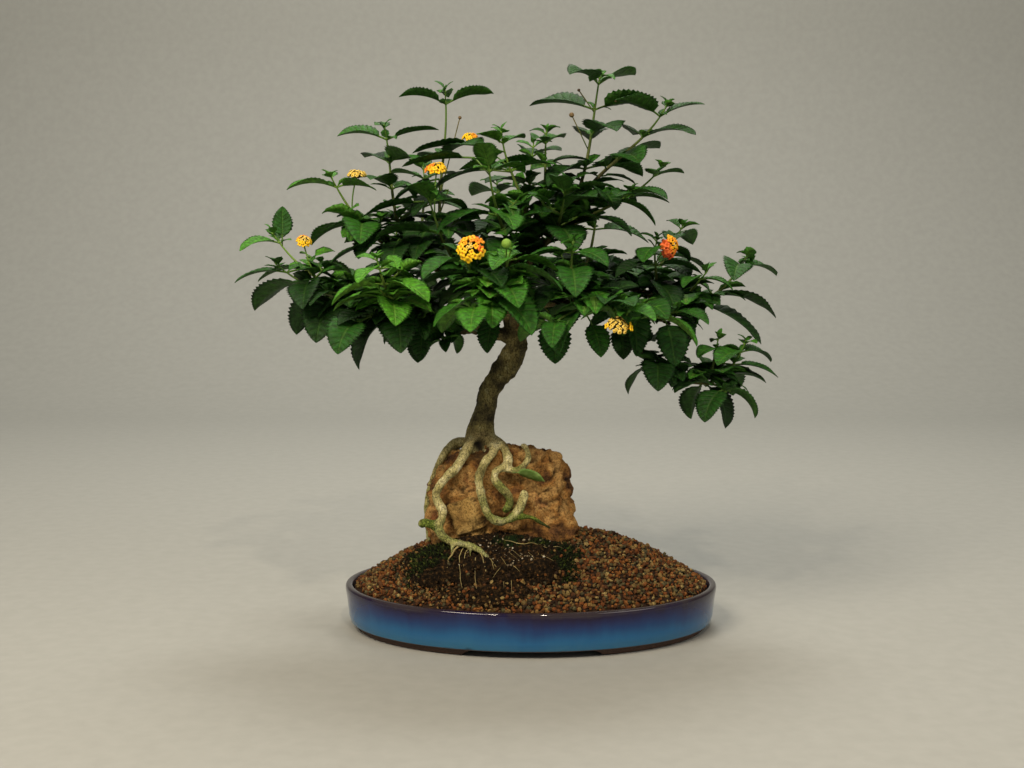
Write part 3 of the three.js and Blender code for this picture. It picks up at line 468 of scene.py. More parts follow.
# %% The tray's two pieces
cutters = [new_object("cutter", mesh_of("cutter", hole_cutter(side * HOLE_PLACE))) for side in (-1, 1)]
drill = [("BOOLEAN", {"operation": "DIFFERENCE", "solver": "EXACT", "object": cutter}) for cutter in cutters]
bored = evaluated(mesh_of("tray_body", bowl), *drill)
for cutter in cutters:
    bpy.data.objects.remove(cutter)
make_piece("glazed_tray", bored, glaze, ["tray"])
make_piece("tray_feet", foot, glaze, ["tray"])

# %% [markdown]
# The drain nets
# Each drain hole has a square of coarse moulded polythene net over it, under the gravel. The frame's own
# net already has the right form, so it stays and only gets its finish.

# %% Moulded net
net_plastic, tree, place = new_finish("black_moulded_polythene")
dust = add(tree, "TexNoise", {"Vector": place, "Scale": 900.0, "Detail": 3.0})
tone = add(tree, "ValToRGB", {"Fac": dust}, [(0.35, "#141414"), (0.75, "#35312c")])
shade(tree, {"Base Color": tone, "Roughness": 0.55})
for name in ("drain_net_left", "drain_net_right"):
    net_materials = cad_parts[name].data.materials
    net_materials.clear()
    net_materials.append(net_plastic)

# %% [markdown]
# The stone
# A piece of weathered orange-brown sandstone, broken along a few flats and worn round at its edges. The
# same rule as in the frame gives the same stone with far more points: the distance from its middle is a
# soft minimum over a list of flats, with lumps added, and pits, ledges and cracks from noise on top.

# %% The stone's form
ROCK_CENTRE = np.array([-28.0, 3, 126])
# The pale block's middle and half sizes, seen from the front: across, up, across, up.
PALE_BLOCK = [-62, 119, 14, 16]
# Where each flat faces, and how far it is from the middle in mm.
ROCK_FLATS = np.array([
    [1, 0.1, 0.12, 67], [0.86, 0.1, -0.5, 72], [0.72, -0.1, 0.7, 78], [0.2, 0.1, 1, 57],
    [-0.45, 0.05, 0.9, 64], [-1, 0, 0.25, 74], [-1, 0.1, -0.4, 80], [0, -1, 0.12, 37], [0.5, -1, 0.3, 47],
    [-0.6, -1, 0.2, 56], [0, 1, 0.2, 38], [0.7, 1, 0.1, 56], [-0.6, 1, 0.2, 56], [0, 0, -1, 46],
    [0, -1, -0.7, 52], [0, 0.8, -1, 56],
])
# Where each lump faces, how far it stands out or in, in mm, and how wide it is.
ROCK_LUMPS = np.array([
    [0.1, -0.5, 0.9, -8, 0.3], [0.12, -0.9, 0.4, -7, 0.26], [-0.45, -1, -0.1, 6, 0.3],
    [-0.05, -1, -0.45, -6, 0.22], [0.75, -0.4, 0.75, 5, 0.3], [1, -0.2, 0.1, -4, 0.22],
    [1, -0.3, -0.35, 5, 0.3], [0.45, -0.6, 0.7, 3, 0.2],
    [-0.8, -0.6, 0.4, 4, 0.25], [0.3, 0.9, 0.5, -6, 0.3], [-0.5, 0.9, 0.1, 5, 0.3], [0.8, 0.6, 0.5, 4, 0.25],
])


def rock_reach(direction):
    """How far the stone reaches: a 16th-power sum over the flats, then a bell-shaped lump for each row."""
    facing = direction @ unit(ROCK_FLATS[:, :3]).T
    reach = (np.maximum(0, facing / ROCK_FLATS[:, 3]) ** 16).sum(-1) ** (-1 / 16)
    away = np.linalg.norm(direction[..., None, :] - unit(ROCK_LUMPS[:, :3]), axis=-1)
    return reach + (ROCK_LUMPS[:, 3] * np.exp(-(away / ROCK_LUMPS[:, 4]) ** 2)).sum(-1)


def directions(rows, columns):
    """Unit directions on a grid: a row for each tilt from down to up, a column for each turn.

    The first and last rows stop just short of the poles, and a small cap closes each.
    """
    tilt = np.linspace(-math.pi / 2 + 0.004, math.pi / 2 - 0.004, rows)[:, None]
    turn = turns(columns)[None, :]
    flat = np.cos(tilt)
    return np.stack(np.broadcast_arrays(flat * np.cos(turn), flat * np.sin(turn), np.sin(tilt)), -1)


def rock_skin(rows, columns):
    """The stone's reach plus ledges, pits and cracks.

    Ledges and pits are layered noise, and a crack is a notch where coarse noise is near 0.
    """
    way = directions(rows, columns)
    smooth = ROCK_CENTRE + way * rock_reach(way)[..., None]
    lumps = layered_noise(smooth * [1, 1, 1.5], 17, 3, seed=3)
    pits = layered_noise(smooth, 4.2, 3, seed=8)
    seam = np.abs(soft_noise(smooth * [0.7, 0.7, 1], 24, seed=11))
    seam = seam + 0.25 * np.abs(soft_noise(smooth, 6, seed=12))
    crack = np.exp(-(seam / 0.07) ** 2)
    fine = layered_noise(smooth, 1.9, 2, seed=15)
    ledges = np.abs(soft_noise(smooth * [1, 1, 1.4], 19, seed=31))
    ledges = ledges + 0.5 * np.abs(soft_noise(smooth, 8.5, seed=32))
    under_trunk = nearness(smooth, [-50, -24, 181], 13)
    # The pale block at the front left stands proud, with sharp edges: a turned square seen from the front.
    away = smooth[..., 0] - PALE_BLOCK[0]
    high = smooth[..., 2] - PALE_BLOCK[1]
    square = 1 - np.maximum(np.abs(0.94 * away + 0.34 * high) / PALE_BLOCK[2],
                            np.abs(0.94 * high - 0.34 * away) / PALE_BLOCK[3])
    proud = smooth_between(square, 0, 0.1) * (smooth[..., 1] < 0)
    # Millimetres in or out for each kind of roughness. The block has no cracks.
    relief = 1.3 * lumps + 1.7 * pits + 0.7 * fine + 6.5 * (ledges - 0.42) - 3.2 * crack * (1 - proud)
    relief = relief * (1 - 0.6 * proud) + 6 * proud - 7 * under_trunk
    points = ROCK_CENTRE + way * (rock_reach(way) + relief)[..., None]
    block = np.maximum(proud, 0.6 * nearness(smooth, [-58, -42, 116], 22))
    # The finish darkens the stone with painted shade in its cracks, pits and ledge creases, round the pale
    # block's edge and in the hollow under the trunk, and with a painted shadow behind the hook.
    behind_hook = 0.6 * nearness(smooth, [-28, -44, 132], 15, power=2)
    edge = proud * (1 - proud) * 3.2 + np.clip(1 - ledges / 0.22, 0, 1)
    hollow = crack * (1 - proud) - 0.6 * pits - 0.2 * fine + edge + 1.2 * under_trunk + behind_hook
    return skin_of(points, pale_block=block, hollow=np.clip(hollow, 0, 1))


# %% Weathered sandstone
sandstone, tree, place = new_finish("weathered_iron_sandstone")
patches = add(tree, "TexNoise", {"Vector": place, "Scale": 38.0, "Detail": 5.0, "Roughness": 0.6})
grains = add(tree, "TexNoise", {"Vector": place, "Scale": 520.0, "Detail": 4.0, "Roughness": 0.75})
stone_colour = add(tree, "ValToRGB", {"Fac": patches}, [
    (0.32, "#35241a"), (0.41, "#7a5430"), (0.49, "#a6763c"), (0.58, "#cca261"), (0.68, "#976338"),
])
pale_colour = add(tree, "ValToRGB", {"Fac": patches}, [
    (0.3, "#846436"), (0.5, "#b08e50"), (0.75, "#ccac6a"),
])
pale_share = add(tree, "Attribute", attribute_name="pale_block").outputs["Fac"]
stone = add(tree, "Mix", {0: pale_share, 6: stone_colour, 7: pale_colour}, data_type="RGBA")
speckle = add(tree, "ValToRGB", {"Fac": grains}, [(0.37, "#3a2b1e"), (0.53, "#ffffff")])
stone = add(tree, "Mix", {0: 0.7, 6: stone, 7: speckle}, data_type="RGBA", blend_type="MULTIPLY")
# Painted shade and shadow: the stone turns dark brown in its cracks, pits and creases, round the pale block,
# under the trunk and behind the hook.
hollow = add(tree, "Attribute", attribute_name="hollow").outputs["Fac"]
shadow = add(tree, "Math", {0: hollow, 1: 0.85}, operation="MULTIPLY")
stone = add(tree, "Mix", {0: shadow, 6: stone, 7: linear("#2a1d12")}, data_type="RGBA")
rough = add(tree, "Bump", {"Height": grains, "Strength": 1.0, "Distance": 0.0024})
shade(tree, {"Base Color": stone, "Roughness": 0.9, "Normal": rough, "Specular IOR Level": 0.2})

make_piece("weathered_stone", rock_skin(140, 214), sandstone, ["rock"])

# %% [markdown]
# The peat ball
# The ball of fibrous peat still stands in front of the stone: a lumpy dome with a crumbly face, nearly
# black where damp, and green where moss has taken hold on its left and right. The dome is the frame's,
# pushed out and in by noise of crumb size.

# %% The peat's form
PEAT_CENTRE = np.array([-30.0, -28, 46])
PEAT_SIZE = np.array([104.0, 80, 55])
PEAT_FOOT = 18
# Where moss grows: the middle of each cushion and its radius.
MOSS_PLACES = np.array([
    [-96, -50, 72, 26], [-104, -28, 62, 22], [42, -62, 74, 24], [62, -42, 66, 20], [-20, -58, 98, 12],
    [-84, -40, 94, 12], [8, -54, 103, 12], [-34, -56, 104, 9], [34, -52, 94, 13],
])


def peat_surface(way):
    """The dome's surface: a direction times the three half sizes, times slow waves, cut off at the floor."""
    lumps = 1 + 0.035 * np.sin(7 * way[..., 0] + 2) * np.cos(6 * way[..., 1]) \
        + 0.03 * np.sin(11 * way[..., 1] + 5 * way[..., 2])
    points = way * PEAT_SIZE * lumps[..., None] + PEAT_CENTRE
    points[..., 2] = np.maximum(points[..., 2], PEAT_FOOT)
    return points


def mossy(points):
    """How mossy a place is, from 0 to 1: near one of the listed places, broken up by noise."""
    away = np.linalg.norm(points[..., None, :] - MOSS_PLACES[:, :3], axis=-1) / MOSS_PLACES[:, 3]
    return smooth_between(1.15 - away.min(-1) + 0.55 * layered_noise(points, 7, 2, seed=5), 0.1, 0.4)


def peat_skin(rows, columns):
    """The dome with crumbs: layered noise along the direction from the middle."""
    way = directions(rows, columns)
    smooth = peat_surface(way)
    crumbs = 1.6 * layered_noise(smooth, 7, 2, seed=1) + 2.0 * layered_noise(smooth, 2.4, 2, seed=2)
    points = smooth + way * crumbs[..., None]
    points[..., 2] = np.maximum(points[..., 2], PEAT_FOOT - 1)
    return skin_of(points, moss=mossy(smooth))


# %% Fibrous peat
peat_finish, tree, place = new_finish("damp_fibrous_peat")
crumb = add(tree, "TexNoise", {"Vector": place, "Scale": 330.0, "Detail": 5.0, "Roughness": 0.7})
dark = add(tree, "ValToRGB", {"Fac": crumb}, [
    (0.3, "#050402"), (0.46, "#120d06"), (0.57, "#281c0d"), (0.68, "#604624"),
])
green = add(tree, "ValToRGB", {"Fac": crumb}, [(0.3, "#060c03"), (0.55, "#10200a"), (0.75, "#263a12")])
moss_share = add(tree, "Attribute", attribute_name="moss").outputs["Fac"]
tone = add(tree, "Mix", {0: moss_share, 6: dark, 7: green}, data_type="RGBA")
rough = add(tree, "Bump", {"Height": crumb, "Strength": 0.9, "Distance": 0.0015})
shade(tree, {"Base Color": tone, "Roughness": 0.95, "Normal": rough, "Specular IOR Level": 0.12})
make_piece("peat_ball", peat_skin(120, 210), peat_finish, ["peat"])

# %% [markdown]
# The gravel
# Mixed grit of fired clay, granite and lava, sieved to about 3 to 5 mm, is heaped from the rim up to the
# stone. Particles would scatter grains quickly, but they don't reach the exported part, so each grain is
# a real twenty-sided stone: one icosahedron is stretched, knocked about and turned in whole arrays. A
# bed in the darkest grit tone lies under them, painted shade for the gaps between grains, so that no gap
# shows through.

# %% The heap under the grains
# How far inside the tray's outline the heap ends, in mm, and how many rings and sides its skin has.
HEAP_INSET = 8.35
HEAP_RINGS = 44
HEAP_SIDES = 160


def bed_height(share):
    """Height of the heap: lowest at the rim, where the share is 1, and highest in the middle."""
    return 41 + 56 * (1 - share ** 1.5)


def ring_inset(share):
    """The inset of the heap's ring that lies at a share of the way out."""
    return HEAP_INSET + (1 - share) * (HALF_DEPTH - HEAP_INSET)


def bed_share(x, y):
    """How far out a place lies on the oval heap, found by halving the range in which its ring must be."""
    low = np.zeros_like(x)
    high = np.full_like(x, 1.2)
    for _ in range(26):
        middle = (low + high) / 2
        inset = ring_inset(middle)
        outside = (x / (HALF_LENGTH - inset)) ** 2 + (y / (HALF_DEPTH - inset)) ** 2 > 1
        low = np.where(outside, middle, low)
        high = np.where(outside, high, middle)
    return (low + high) / 2


def above_heap(points):
    """How high points lie above the heap, in mm."""
    return points[..., 2] - bed_height(bed_share(points[..., 0], points[..., 1]))


def bed_skin():
    """Rings of the heap from under its edge to its middle, roughened by noise, with a flat underside."""
    share = np.linspace(0.99, 0.02, HEAP_RINGS)
    rings = np.column_stack([ring_inset(share), bed_height(share) - 1.4, np.ones(HEAP_RINGS)])
    under = [[100, 15.7, 0.02], [100, 15.7, 1], [40, 15.7, 1], [17.4, 15.7, 1], [14.4, 19, 1], [9.6, 36, 1]]
    rows = np.concatenate([under, rings])
    points = oval_rows(rows, HEAP_SIDES)
    points[len(under):, :, 2] += 0.8 * layered_noise(points[len(under):], 5, 2, seed=6)
    # Grit 0 is the darkest tone: the bed is painted shade for the gaps between the grains.
    return skin_of(points, grit=0.0)


# %% Grains of grit
def inside_stone(points):
    """True where a point is within the stone: nearer to its middle than the stone reaches that way."""
    away = points - ROCK_CENTRE
    far = np.linalg.norm(away, axis=-1)
    return far < rock_reach(away / far[..., None])


def inside_peat(points):
    """True where a point is within the peat's dome."""
    away = (points - PEAT_CENTRE) / PEAT_SIZE
    far = np.linalg.norm(away, axis=-1)
    surface = (peat_surface(away / far[..., None]) - PEAT_CENTRE) / PEAT_SIZE
    return far < np.linalg.norm(surface, axis=-1)


# The twelve corners of an icosahedron are those of three golden rectangles that cross at right angles.
GOLDEN = (1 + 5 ** 0.5) / 2
ICOSAHEDRON = unit([
    [-1, GOLDEN, 0], [1, GOLDEN, 0], [-1, -GOLDEN, 0], [1, -GOLDEN, 0],
    [0, -1, GOLDEN], [0, 1, GOLDEN], [0, -1, -GOLDEN], [0, 1, -GOLDEN],
    [GOLDEN, 0, -1], [GOLDEN, 0, 1], [-GOLDEN, 0, -1], [-GOLDEN, 0, 1],
])
ICOSAHEDRON_FACES = np.array([
    [0, 11, 5], [0, 5, 1], [0, 1, 7], [0, 7, 10], [0, 10, 11], [1, 5, 9], [5, 11, 4], [11, 10, 2], [10, 7, 6],
    [7, 1, 8], [3, 9, 4], [3, 4, 2], [3, 2, 6], [3, 6, 8], [3, 8, 9], [4, 9, 5], [2, 4, 11], [6, 2, 10],
    [8, 6, 7], [9, 8, 1],
])


def any_turns(count):
    """Random turns as 3 by 3 tables, from unit quaternions."""
    w, x, y, z = unit(rng.normal(size=(count, 4))).T
    return np.stack([
        np.stack([1 - 2 * (y * y + z * z), 2 * (x * y - w * z), 2 * (x * z + w * y)], -1),
        np.stack([2 * (x * y + w * z), 1 - 2 * (x * x + z * z), 2 * (y * z - w * x)], -1),
        np.stack([2 * (x * z - w * y), 2 * (y * z + w * x), 1 - 2 * (x * x + y * y)], -1)], 1)


def stones(centres, radii, tints):
    """Icosahedra stretched along three axes, each corner knocked in or out, turned at random and moved."""
    count = len(centres)
    stretch = radii[:, None, None] * rng.uniform(0.62, 1.28, (count, 1, 3))
    corners = ICOSAHEDRON * stretch * rng.uniform(0.72, 1.15, (count, 12, 1))
    corners = np.einsum("nij,nkj->nki", any_turns(count), corners) + centres[:, None]
    faces = ICOSAHEDRON_FACES[None] + (np.arange(count) * 12)[:, None, None]
    return skin_of(corners, [faces.reshape(-1, 3)], grit=tints[:, None])


def grain_places(pitch):
    """Places on a lattice of triangles over the oval, each moved a little, and lifted onto the heap."""
    column, row = np.meshgrid(np.arange(-60, 61), np.arange(-46, 47))
    x = (column + 0.5 * (row % 2)) * pitch + rng.normal(0, 0.22 * pitch, column.shape)
    y = row * pitch * 0.87 + rng.normal(0, 0.22 * pitch, column.shape)
    share = bed_share(x, y)
    points = np.stack([x, y, bed_height(share)], -1)[share < 0.985]
    hidden = inside_stone(points + [0, 0, 1]) | inside_peat(points + [0, 0, 1.5])
    return points[~hidden]


# %% The heap's own grains, and those on the peat
# A closed layer with loose grains on top, in mm from grain to grain.
LAYER_PITCH = 3.6
LOOSE_PITCH = 7.0
# Grains stay this far, and their own radius, inside the tray's outline.
WALL_INSET = 9.4
WASHED_UP = 560
layer = grain_places(LAYER_PITCH)
loose = grain_places(LOOSE_PITCH) + [0, 0, 1.5]
grains = np.concatenate([layer, loose])
grains[:, 2] += rng.normal(0, 0.5, len(grains))
radii = rng.uniform(1.5, 2.7, len(grains))
along = grains[:, 0] / (HALF_LENGTH - WALL_INSET - radii)
across = grains[:, 1] / (HALF_DEPTH - WALL_INSET - radii)
keep = along ** 2 + across ** 2 < 1
grains, radii = grains[keep], radii[keep]
# Some have been washed up over the foot of the peat, fewer the higher it is.
ways = unit(rng.normal(size=(5200, 3)) * [1.2, 1, 0.5] + [0, -0.3, 0.35])
skirt = peat_surface(ways)
above_bed = above_heap(skirt)
reached = (above_bed > -2) & (above_bed < rng.gamma(1.2, 5.5, len(ways)))
skirt = skirt[reached & ~inside_stone(skirt)][:WASHED_UP]
grains = np.concatenate([grains, skirt])
radii = np.concatenate([radii, rng.uniform(1.25, 2.3, len(skirt))])
print("grains on the foot of the peat:", len(skirt))
grit_skin = stones(grains, radii, rng.random(len(grains)))

# %% Mixed grit
grit, tree, place = new_finish("mixed_fired_clay_and_granite_grit")
kind = add(tree, "Attribute", attribute_name="grit").outputs["Fac"]
# One flat tone a grain: fired clay from dark to orange, grey-green lava, pale granite and near-black.
sorted_tones = add(tree, "ValToRGB", {"Fac": kind}, [
    (0.0, "#2f2013"), (0.07, "#4e3017"), (0.22, "#72421d"), (0.36, "#835427"), (0.48, "#5d3c1e"),
    (0.60, "#705c34"), (0.71, "#565034"), (0.80, "#423e29"), (0.87, "#876c3d"), (0.94, "#968250"),
    (0.975, "#2f2416"),
])
sorted_tones.color_ramp.interpolation = "CONSTANT"
mottle = add(tree, "TexNoise", {"Vector": place, "Scale": 480.0, "Detail": 3.0})
tone = add(tree, "ValToRGB", {"Fac": mottle}, [(0.3, "#8c8078"), (0.65, "#ffffff")])
colour = add(tree, "Mix", {0: 0.75, 6: sorted_tones, 7: tone}, data_type="RGBA", blend_type="MULTIPLY")
rough = add(tree, "Bump", {"Height": mottle, "Strength": 0.5, "Distance": 0.0006})
shade(tree, {"Base Color": colour, "Roughness": 0.82, "Normal": rough, "Specular IOR Level": 0.2})
make_piece("grit_bed", bed_skin(), grit, ["gravel"])
make_piece("grit_grains", grit_skin, grit, ["gravel"], smooth=False)
print("grains:", len(grains))

# %% [markdown]
# The wood
# One piece of grown wood: a trunk that swells and bends, limbs, and roots that clasp the stone like
# fingers. Curves with a bevel would leave hard joints, so tubes are carried along the paths, remeshed
# into one closed skin that flows round every fork, and then roughened as bark.

# %% Paths and tubes
def through(points, share):
    """Catmull-Rom curve: a cubic between two points whose end slopes are half the step between neighbours."""
    points = np.asarray(points, float)
    padded = np.vstack([2 * points[0] - points[1], points, 2 * points[-1] - points[-2]])
    place = np.clip(np.atleast_1d(share), 0, 1) * (len(points) - 1)
    left = np.minimum(place.astype(int), len(points) - 2)
    t = (place - left)[:, None]
    before, here, after, beyond = (padded[left + k] for k in range(4))
    slope, next_slope = 0.5 * (after - before), 0.5 * (beyond - here)
    return here + slope * t + (3 * (after - here) - 2 * slope - next_slope) * t ** 2 \
        + (2 * (here - after) + slope + next_slope) * t ** 3


def even_path(curve, step):
    """Points at even distances along a curve, read off its running length."""
    fine = curve(np.linspace(0, 1, 400))
    length = np.concatenate([[0], np.cumsum(np.linalg.norm(np.diff(fine, axis=0), axis=1))])
    count = max(4, int(length[-1] / step) + 1)
    even = np.linspace(0, length[-1], count)
    return np.stack([np.interp(even, length, fine[:, k]) for k in range(3)], -1)


def tube(path, radii, sides):
    """A ring carried along a path, square to it, that turns as little as possible from step to step."""
    ahead = unit(np.gradient(path, axis=0))
    start = np.cross(ahead[0], [0, 0, 1] if abs(ahead[0][2]) < 0.8 else [1, 0, 0])
    across = [start / np.linalg.norm(start)]
    for way in ahead[1:]:
        held = across[-1] - way * (across[-1] @ way)
        across.append(held / np.linalg.norm(held))
    across = np.array(across)
    upward = np.cross(ahead, across)
    turn = turns(sides)[None, :, None]
    radii = np.broadcast_to(np.atleast_2d(np.asarray(radii, float).T).T, (len(path), sides))[..., None]
    points = path[:, None] + radii * (np.cos(turn) * across[:, None] + np.sin(turn) * upward[:, None])
    return skin_of(points)


def grown_tube(curve, radii, sides, seed, step=2.2):
    """A tube with a round end, whose radius runs evenly through a list and swells by slow noise."""
    path = even_path(curve, step)
    width = np.interp(np.linspace(0, 1, len(path)), np.linspace(0, 1, len(radii)), radii)
    turn = turns(sides)[None, :]
    along = (np.arange(len(path)) * step)[:, None]
    swell = soft_noise(np.stack(np.broadcast_arrays(along, 9 * np.cos(turn), 9 * np.sin(turn)), -1), 13, seed)
    to_end = np.clip((along[-1] - along[:, 0]) / width[-1], 0, 1)
    width = width * np.sqrt(np.clip(1 - (1 - to_end) ** 2, 0.04, 1))
    return tube(path, width[:, None] * (1 + 0.13 * swell), sides)


# %% The wood's paths
TRUNK = [
    [-52, 0, 176], [-50, 0, 196], [-45, 2, 220], [-41, 4, 238], [-31, 6, 252], [-20, 6, 268], [-14, 4, 284],
    [-16, 2, 300],
]
TRUNK_RADII = [16, 14.2, 10.8, 9.8, 10.4, 11.6, 10.4, 8.5]
# Each root's path and its radii along it. Five of them differ a little from the frame's: the hook and the
# inner loop leave a dark gap, the left stub and the low right root end sooner, and the curl is thicker.
ROOTS = {
    "left_back": [[[-56, 4, 184], [-76, 8, 184], [-90, 4, 168], [-101, -2, 140], [-104, -6, 112],
        [-101, -10, 86]], [6, 5, 4.5, 4, 3.5]],
    "long_front": [[[-46, -6, 189], [-60, -20, 186], [-72, -36, 168], [-86, -42, 154], [-93, -44, 140],
        [-86, -47, 124], [-90, -52, 109], [-80, -57, 98], [-59, -67, 95], [-40, -80, 87]],
        [6.5, 6, 5.5, 5, 5.2, 5, 4, 2.4]],
    "hook": [[[-40, -4, 188], [-37, -24, 181], [-46, -38, 170], [-51, -44, 156], [-48, -46, 138],
        [-42, -49, 122], [-30, -51, 115], [-15, -50, 123], [-8, -46, 138], [-8, -43, 146]],
        [6, 5.4, 5, 5, 4.8, 5.2, 5.2, 4.8]],
    "inner_loop": [[[-38, -4, 190], [-27, -21, 184], [-23, -35, 170], [-35, -40, 162], [-36, -41, 154],
        [-27, -44, 145], [-21, -43, 134], [-27, -41, 122]], [6, 5, 5, 5, 5, 4.6]],
    "pale_curl": [[[-25, -36, 163], [-13, -41, 165], [-5, -42, 172], [-3, -41, 181], [-7, -38, 188],
        [-11, -37, 187]], [3.8, 3.6, 3.2, 2.9]],
    "right_low": [[[-16, -49, 119], [-2, -50, 120], [9, -49, 114], [20, -48, 108]], [3.6, 3.2, 2.6, 2]],
    "left_stub": [[[-90, -50, 110], [-98, -51, 113], [-105, -50, 114], [-109, -48, 110]], [5.4, 5.6, 5.6]],
    "rear_middle": [[[-50, 6, 188], [-48, 28, 178], [-42, 44, 156], [-48, 48, 130], [-40, 53, 104],
        [-30, 60, 76]], [6, 5.5, 5, 4.4, 3.6]],
    "rear_left": [[[-58, 6, 186], [-76, 26, 178], [-90, 38, 150], [-84, 46, 120], [-92, 50, 94],
        [-96, 52, 70]], [6, 5, 4.5, 4, 3.4]],
    "rear_right": [[[-46, 6, 187], [-34, 32, 180], [-12, 44, 162], [0, 48, 138], [-6, 50, 112],
        [0, 56, 84]], [5.5, 5, 4.6, 4, 3.2]],
    "thin_left": [[[-76, -59, 99], [-77, -68, 88], [-79, -78, 76], [-82, -88, 58]], [2, 1.6, 1.2]],
    "thin_middle": [[[-60, -66, 95], [-59, -74, 84], [-63, -84, 68]], [1.6, 1.4, 1.1]],
    "thin_right": [[[-46, -76, 88], [-40, -84, 78], [-40, -92, 60]], [1.8, 1.5, 1.1]],
}
# All the roots are this much of the frame's, in radius.
ROOT_SLIMNESS = 0.86
LIMBS = {
    "left_low": [[[-16, 2, 290], [-48, -6, 298], [-90, -14, 304], [-128, -22, 314], [-160, -30, 323]],
        [7, 5.5, 4.2, 2.6]],
    "left_front": [[[-90, -14, 304], [-106, -50, 313], [-122, -88, 320]], [3.4, 2.8, 2.2]],
    "left_back": [[[-60, -8, 300], [-86, 32, 314], [-116, 74, 326], [-140, 98, 332]], [4, 3, 2.3]],
    "leader": [[[-16, 2, 296], [-25, 6, 322], [-22, 10, 352], [-8, 12, 382], [8, 8, 410]],
        [8, 6, 4.6, 2.8]],
    "left_high": [[[-25, 6, 318], [-62, 2, 342], [-105, 0, 364], [-146, -2, 384]], [5, 3.6, 2.4]],
    "right_low": [[[-14, 3, 288], [-1, -6, 309], [30, -10, 322], [70, -8, 327], [108, -10, 318],
        [138, -14, 304]], [8, 8.5, 4.8, 4, 3, 2.4]],
    "right_drop": [[[70, -8, 327], [98, -12, 296], [118, -16, 265], [136, -18, 253], [170, -20, 246]],
        [3.4, 2.8, 2.2, 1.8]],
    "right_mid": [[[-1, -6, 309], [38, 10, 338], [86, 16, 342], [126, 10, 330], [160, 4, 324]],
        [5, 4, 3, 2.3]],
    "right_high": [[[-22, 9, 344], [8, 14, 376], [34, 13, 408], [60, 9, 442]], [4.6, 3.4, 2.4]],
    "front": [[[-16, 0, 300], [-19, -38, 322], [-28, -76, 334], [-34, -108, 340]], [5, 3.6, 2.3]],
    "front_right": [[[-18, -30, 318], [14, -56, 326], [44, -82, 330], [62, -102, 330]], [3.6, 3, 2.2]],
    "back": [[[-17, 4, 298], [-14, 44, 324], [-12, 88, 342], [-10, 120, 352]], [5.4, 4, 2.4]],
    "back_right": [[[-15, 34, 319], [24, 62, 336], [62, 86, 344], [92, 102, 346]], [4, 3, 2.3]],
}
# The burl where the low right limb leaves the trunk, and its radius.
BURL_PLACE = [-1, -6, 309]
BURL_RADIUS = 9.6
# The stump of a cut limb: its two ends, and its radii along it.
STUMP_ENDS = ([-20, 0, 291], [-39, -7, 297])
STUMP_RADII = [6.2, 5.6, 5, 4.8, 4.8, 5, 5.2, 4.8]

# %% The wood's tubes
tubes = [grown_tube(lambda t: through(TRUNK, t), TRUNK_RADII, 24, 0)]
for number, (points, radii) in enumerate(ROOTS.values()):
    tubes.append(grown_tube(lambda t: through(points, t), ROOT_SLIMNESS * np.array(radii), 14, number + 1))
for number, (points, radii) in enumerate(LIMBS.values()):
    tubes.append(grown_tube(lambda t: through(points, t), radii, 12, number + 30))
tubes.append(tube(np.linspace(*STUMP_ENDS, len(STUMP_RADII)), STUMP_RADII, 14))
tubes.append(skin_of(directions(14, 20) * BURL_RADIUS + BURL_PLACE))

# %% [markdown]
# Bark
# Old lantana bark is grey-brown, thin and finely furrowed, with orange-brown new wood where a limb was
# cut. Roots that have seen light turn pale grey-green and carry algae and moss. The furrows run along the
# wood: the mesh gets its noise first, and the finish adds the fine cracks that the mesh is too coarse for.

# %% One grown skin
# The size of the remesh's cubes in mm, and how often the skin is smoothed.
VOXEL = 1.5
SMOOTHING_ROUNDS = 3


def grown_together(skins, voxel):
    """One skin from many that overlap: a voxel remesh, then a few rounds of smoothing.

    In a round each point moves half of the way to the mean of its neighbours.
    """
    remesh = ("REMESH", {"mode": "VOXEL", "voxel_size": voxel / 1000})
    merged = evaluated(mesh_of("tubes", joined(skins)), remesh)
    points = np.empty(len(merged.vertices) * 3)
    merged.vertices.foreach_get("co", points)
    points = points.reshape(-1, 3) * 1000 - SHIFT
    corners = np.empty(len(merged.loops), int)
    merged.loops.foreach_get("vertex_index", corners)
    quads = corners.reshape(-1, 4)
    for _ in range(SMOOTHING_ROUNDS):
        total = np.zeros_like(points)
        count = np.zeros(len(points))
        for a, b in ((0, 1), (1, 2), (2, 3), (3, 0)):
            np.add.at(total, quads[:, a], points[quads[:, b]])
            np.add.at(count, quads[:, a], 1)
        points = 0.5 * points + 0.5 * total / count[:, None]
    return points, quads


def point_normals(points, quads):
    """The way out at each point: the mean of its faces' normals, each the cross product of two diagonals."""
    across = np.cross(points[quads[:, 2]] - points[quads[:, 0]], points[quads[:, 3]] - points[quads[:, 1]])
    total = np.zeros_like(points)
    for k in range(4):
        np.add.at(total, quads[:, k], across)
    return unit(total + 1e-12)


# Where moss and algae cover a root in the wet: the middle of each place, and its reach.
WET_MOSS = [([2, -49, 114], [24, 15, 15]), ([-27, -43, 130], 12), ([-102, -48, 110], 12)]


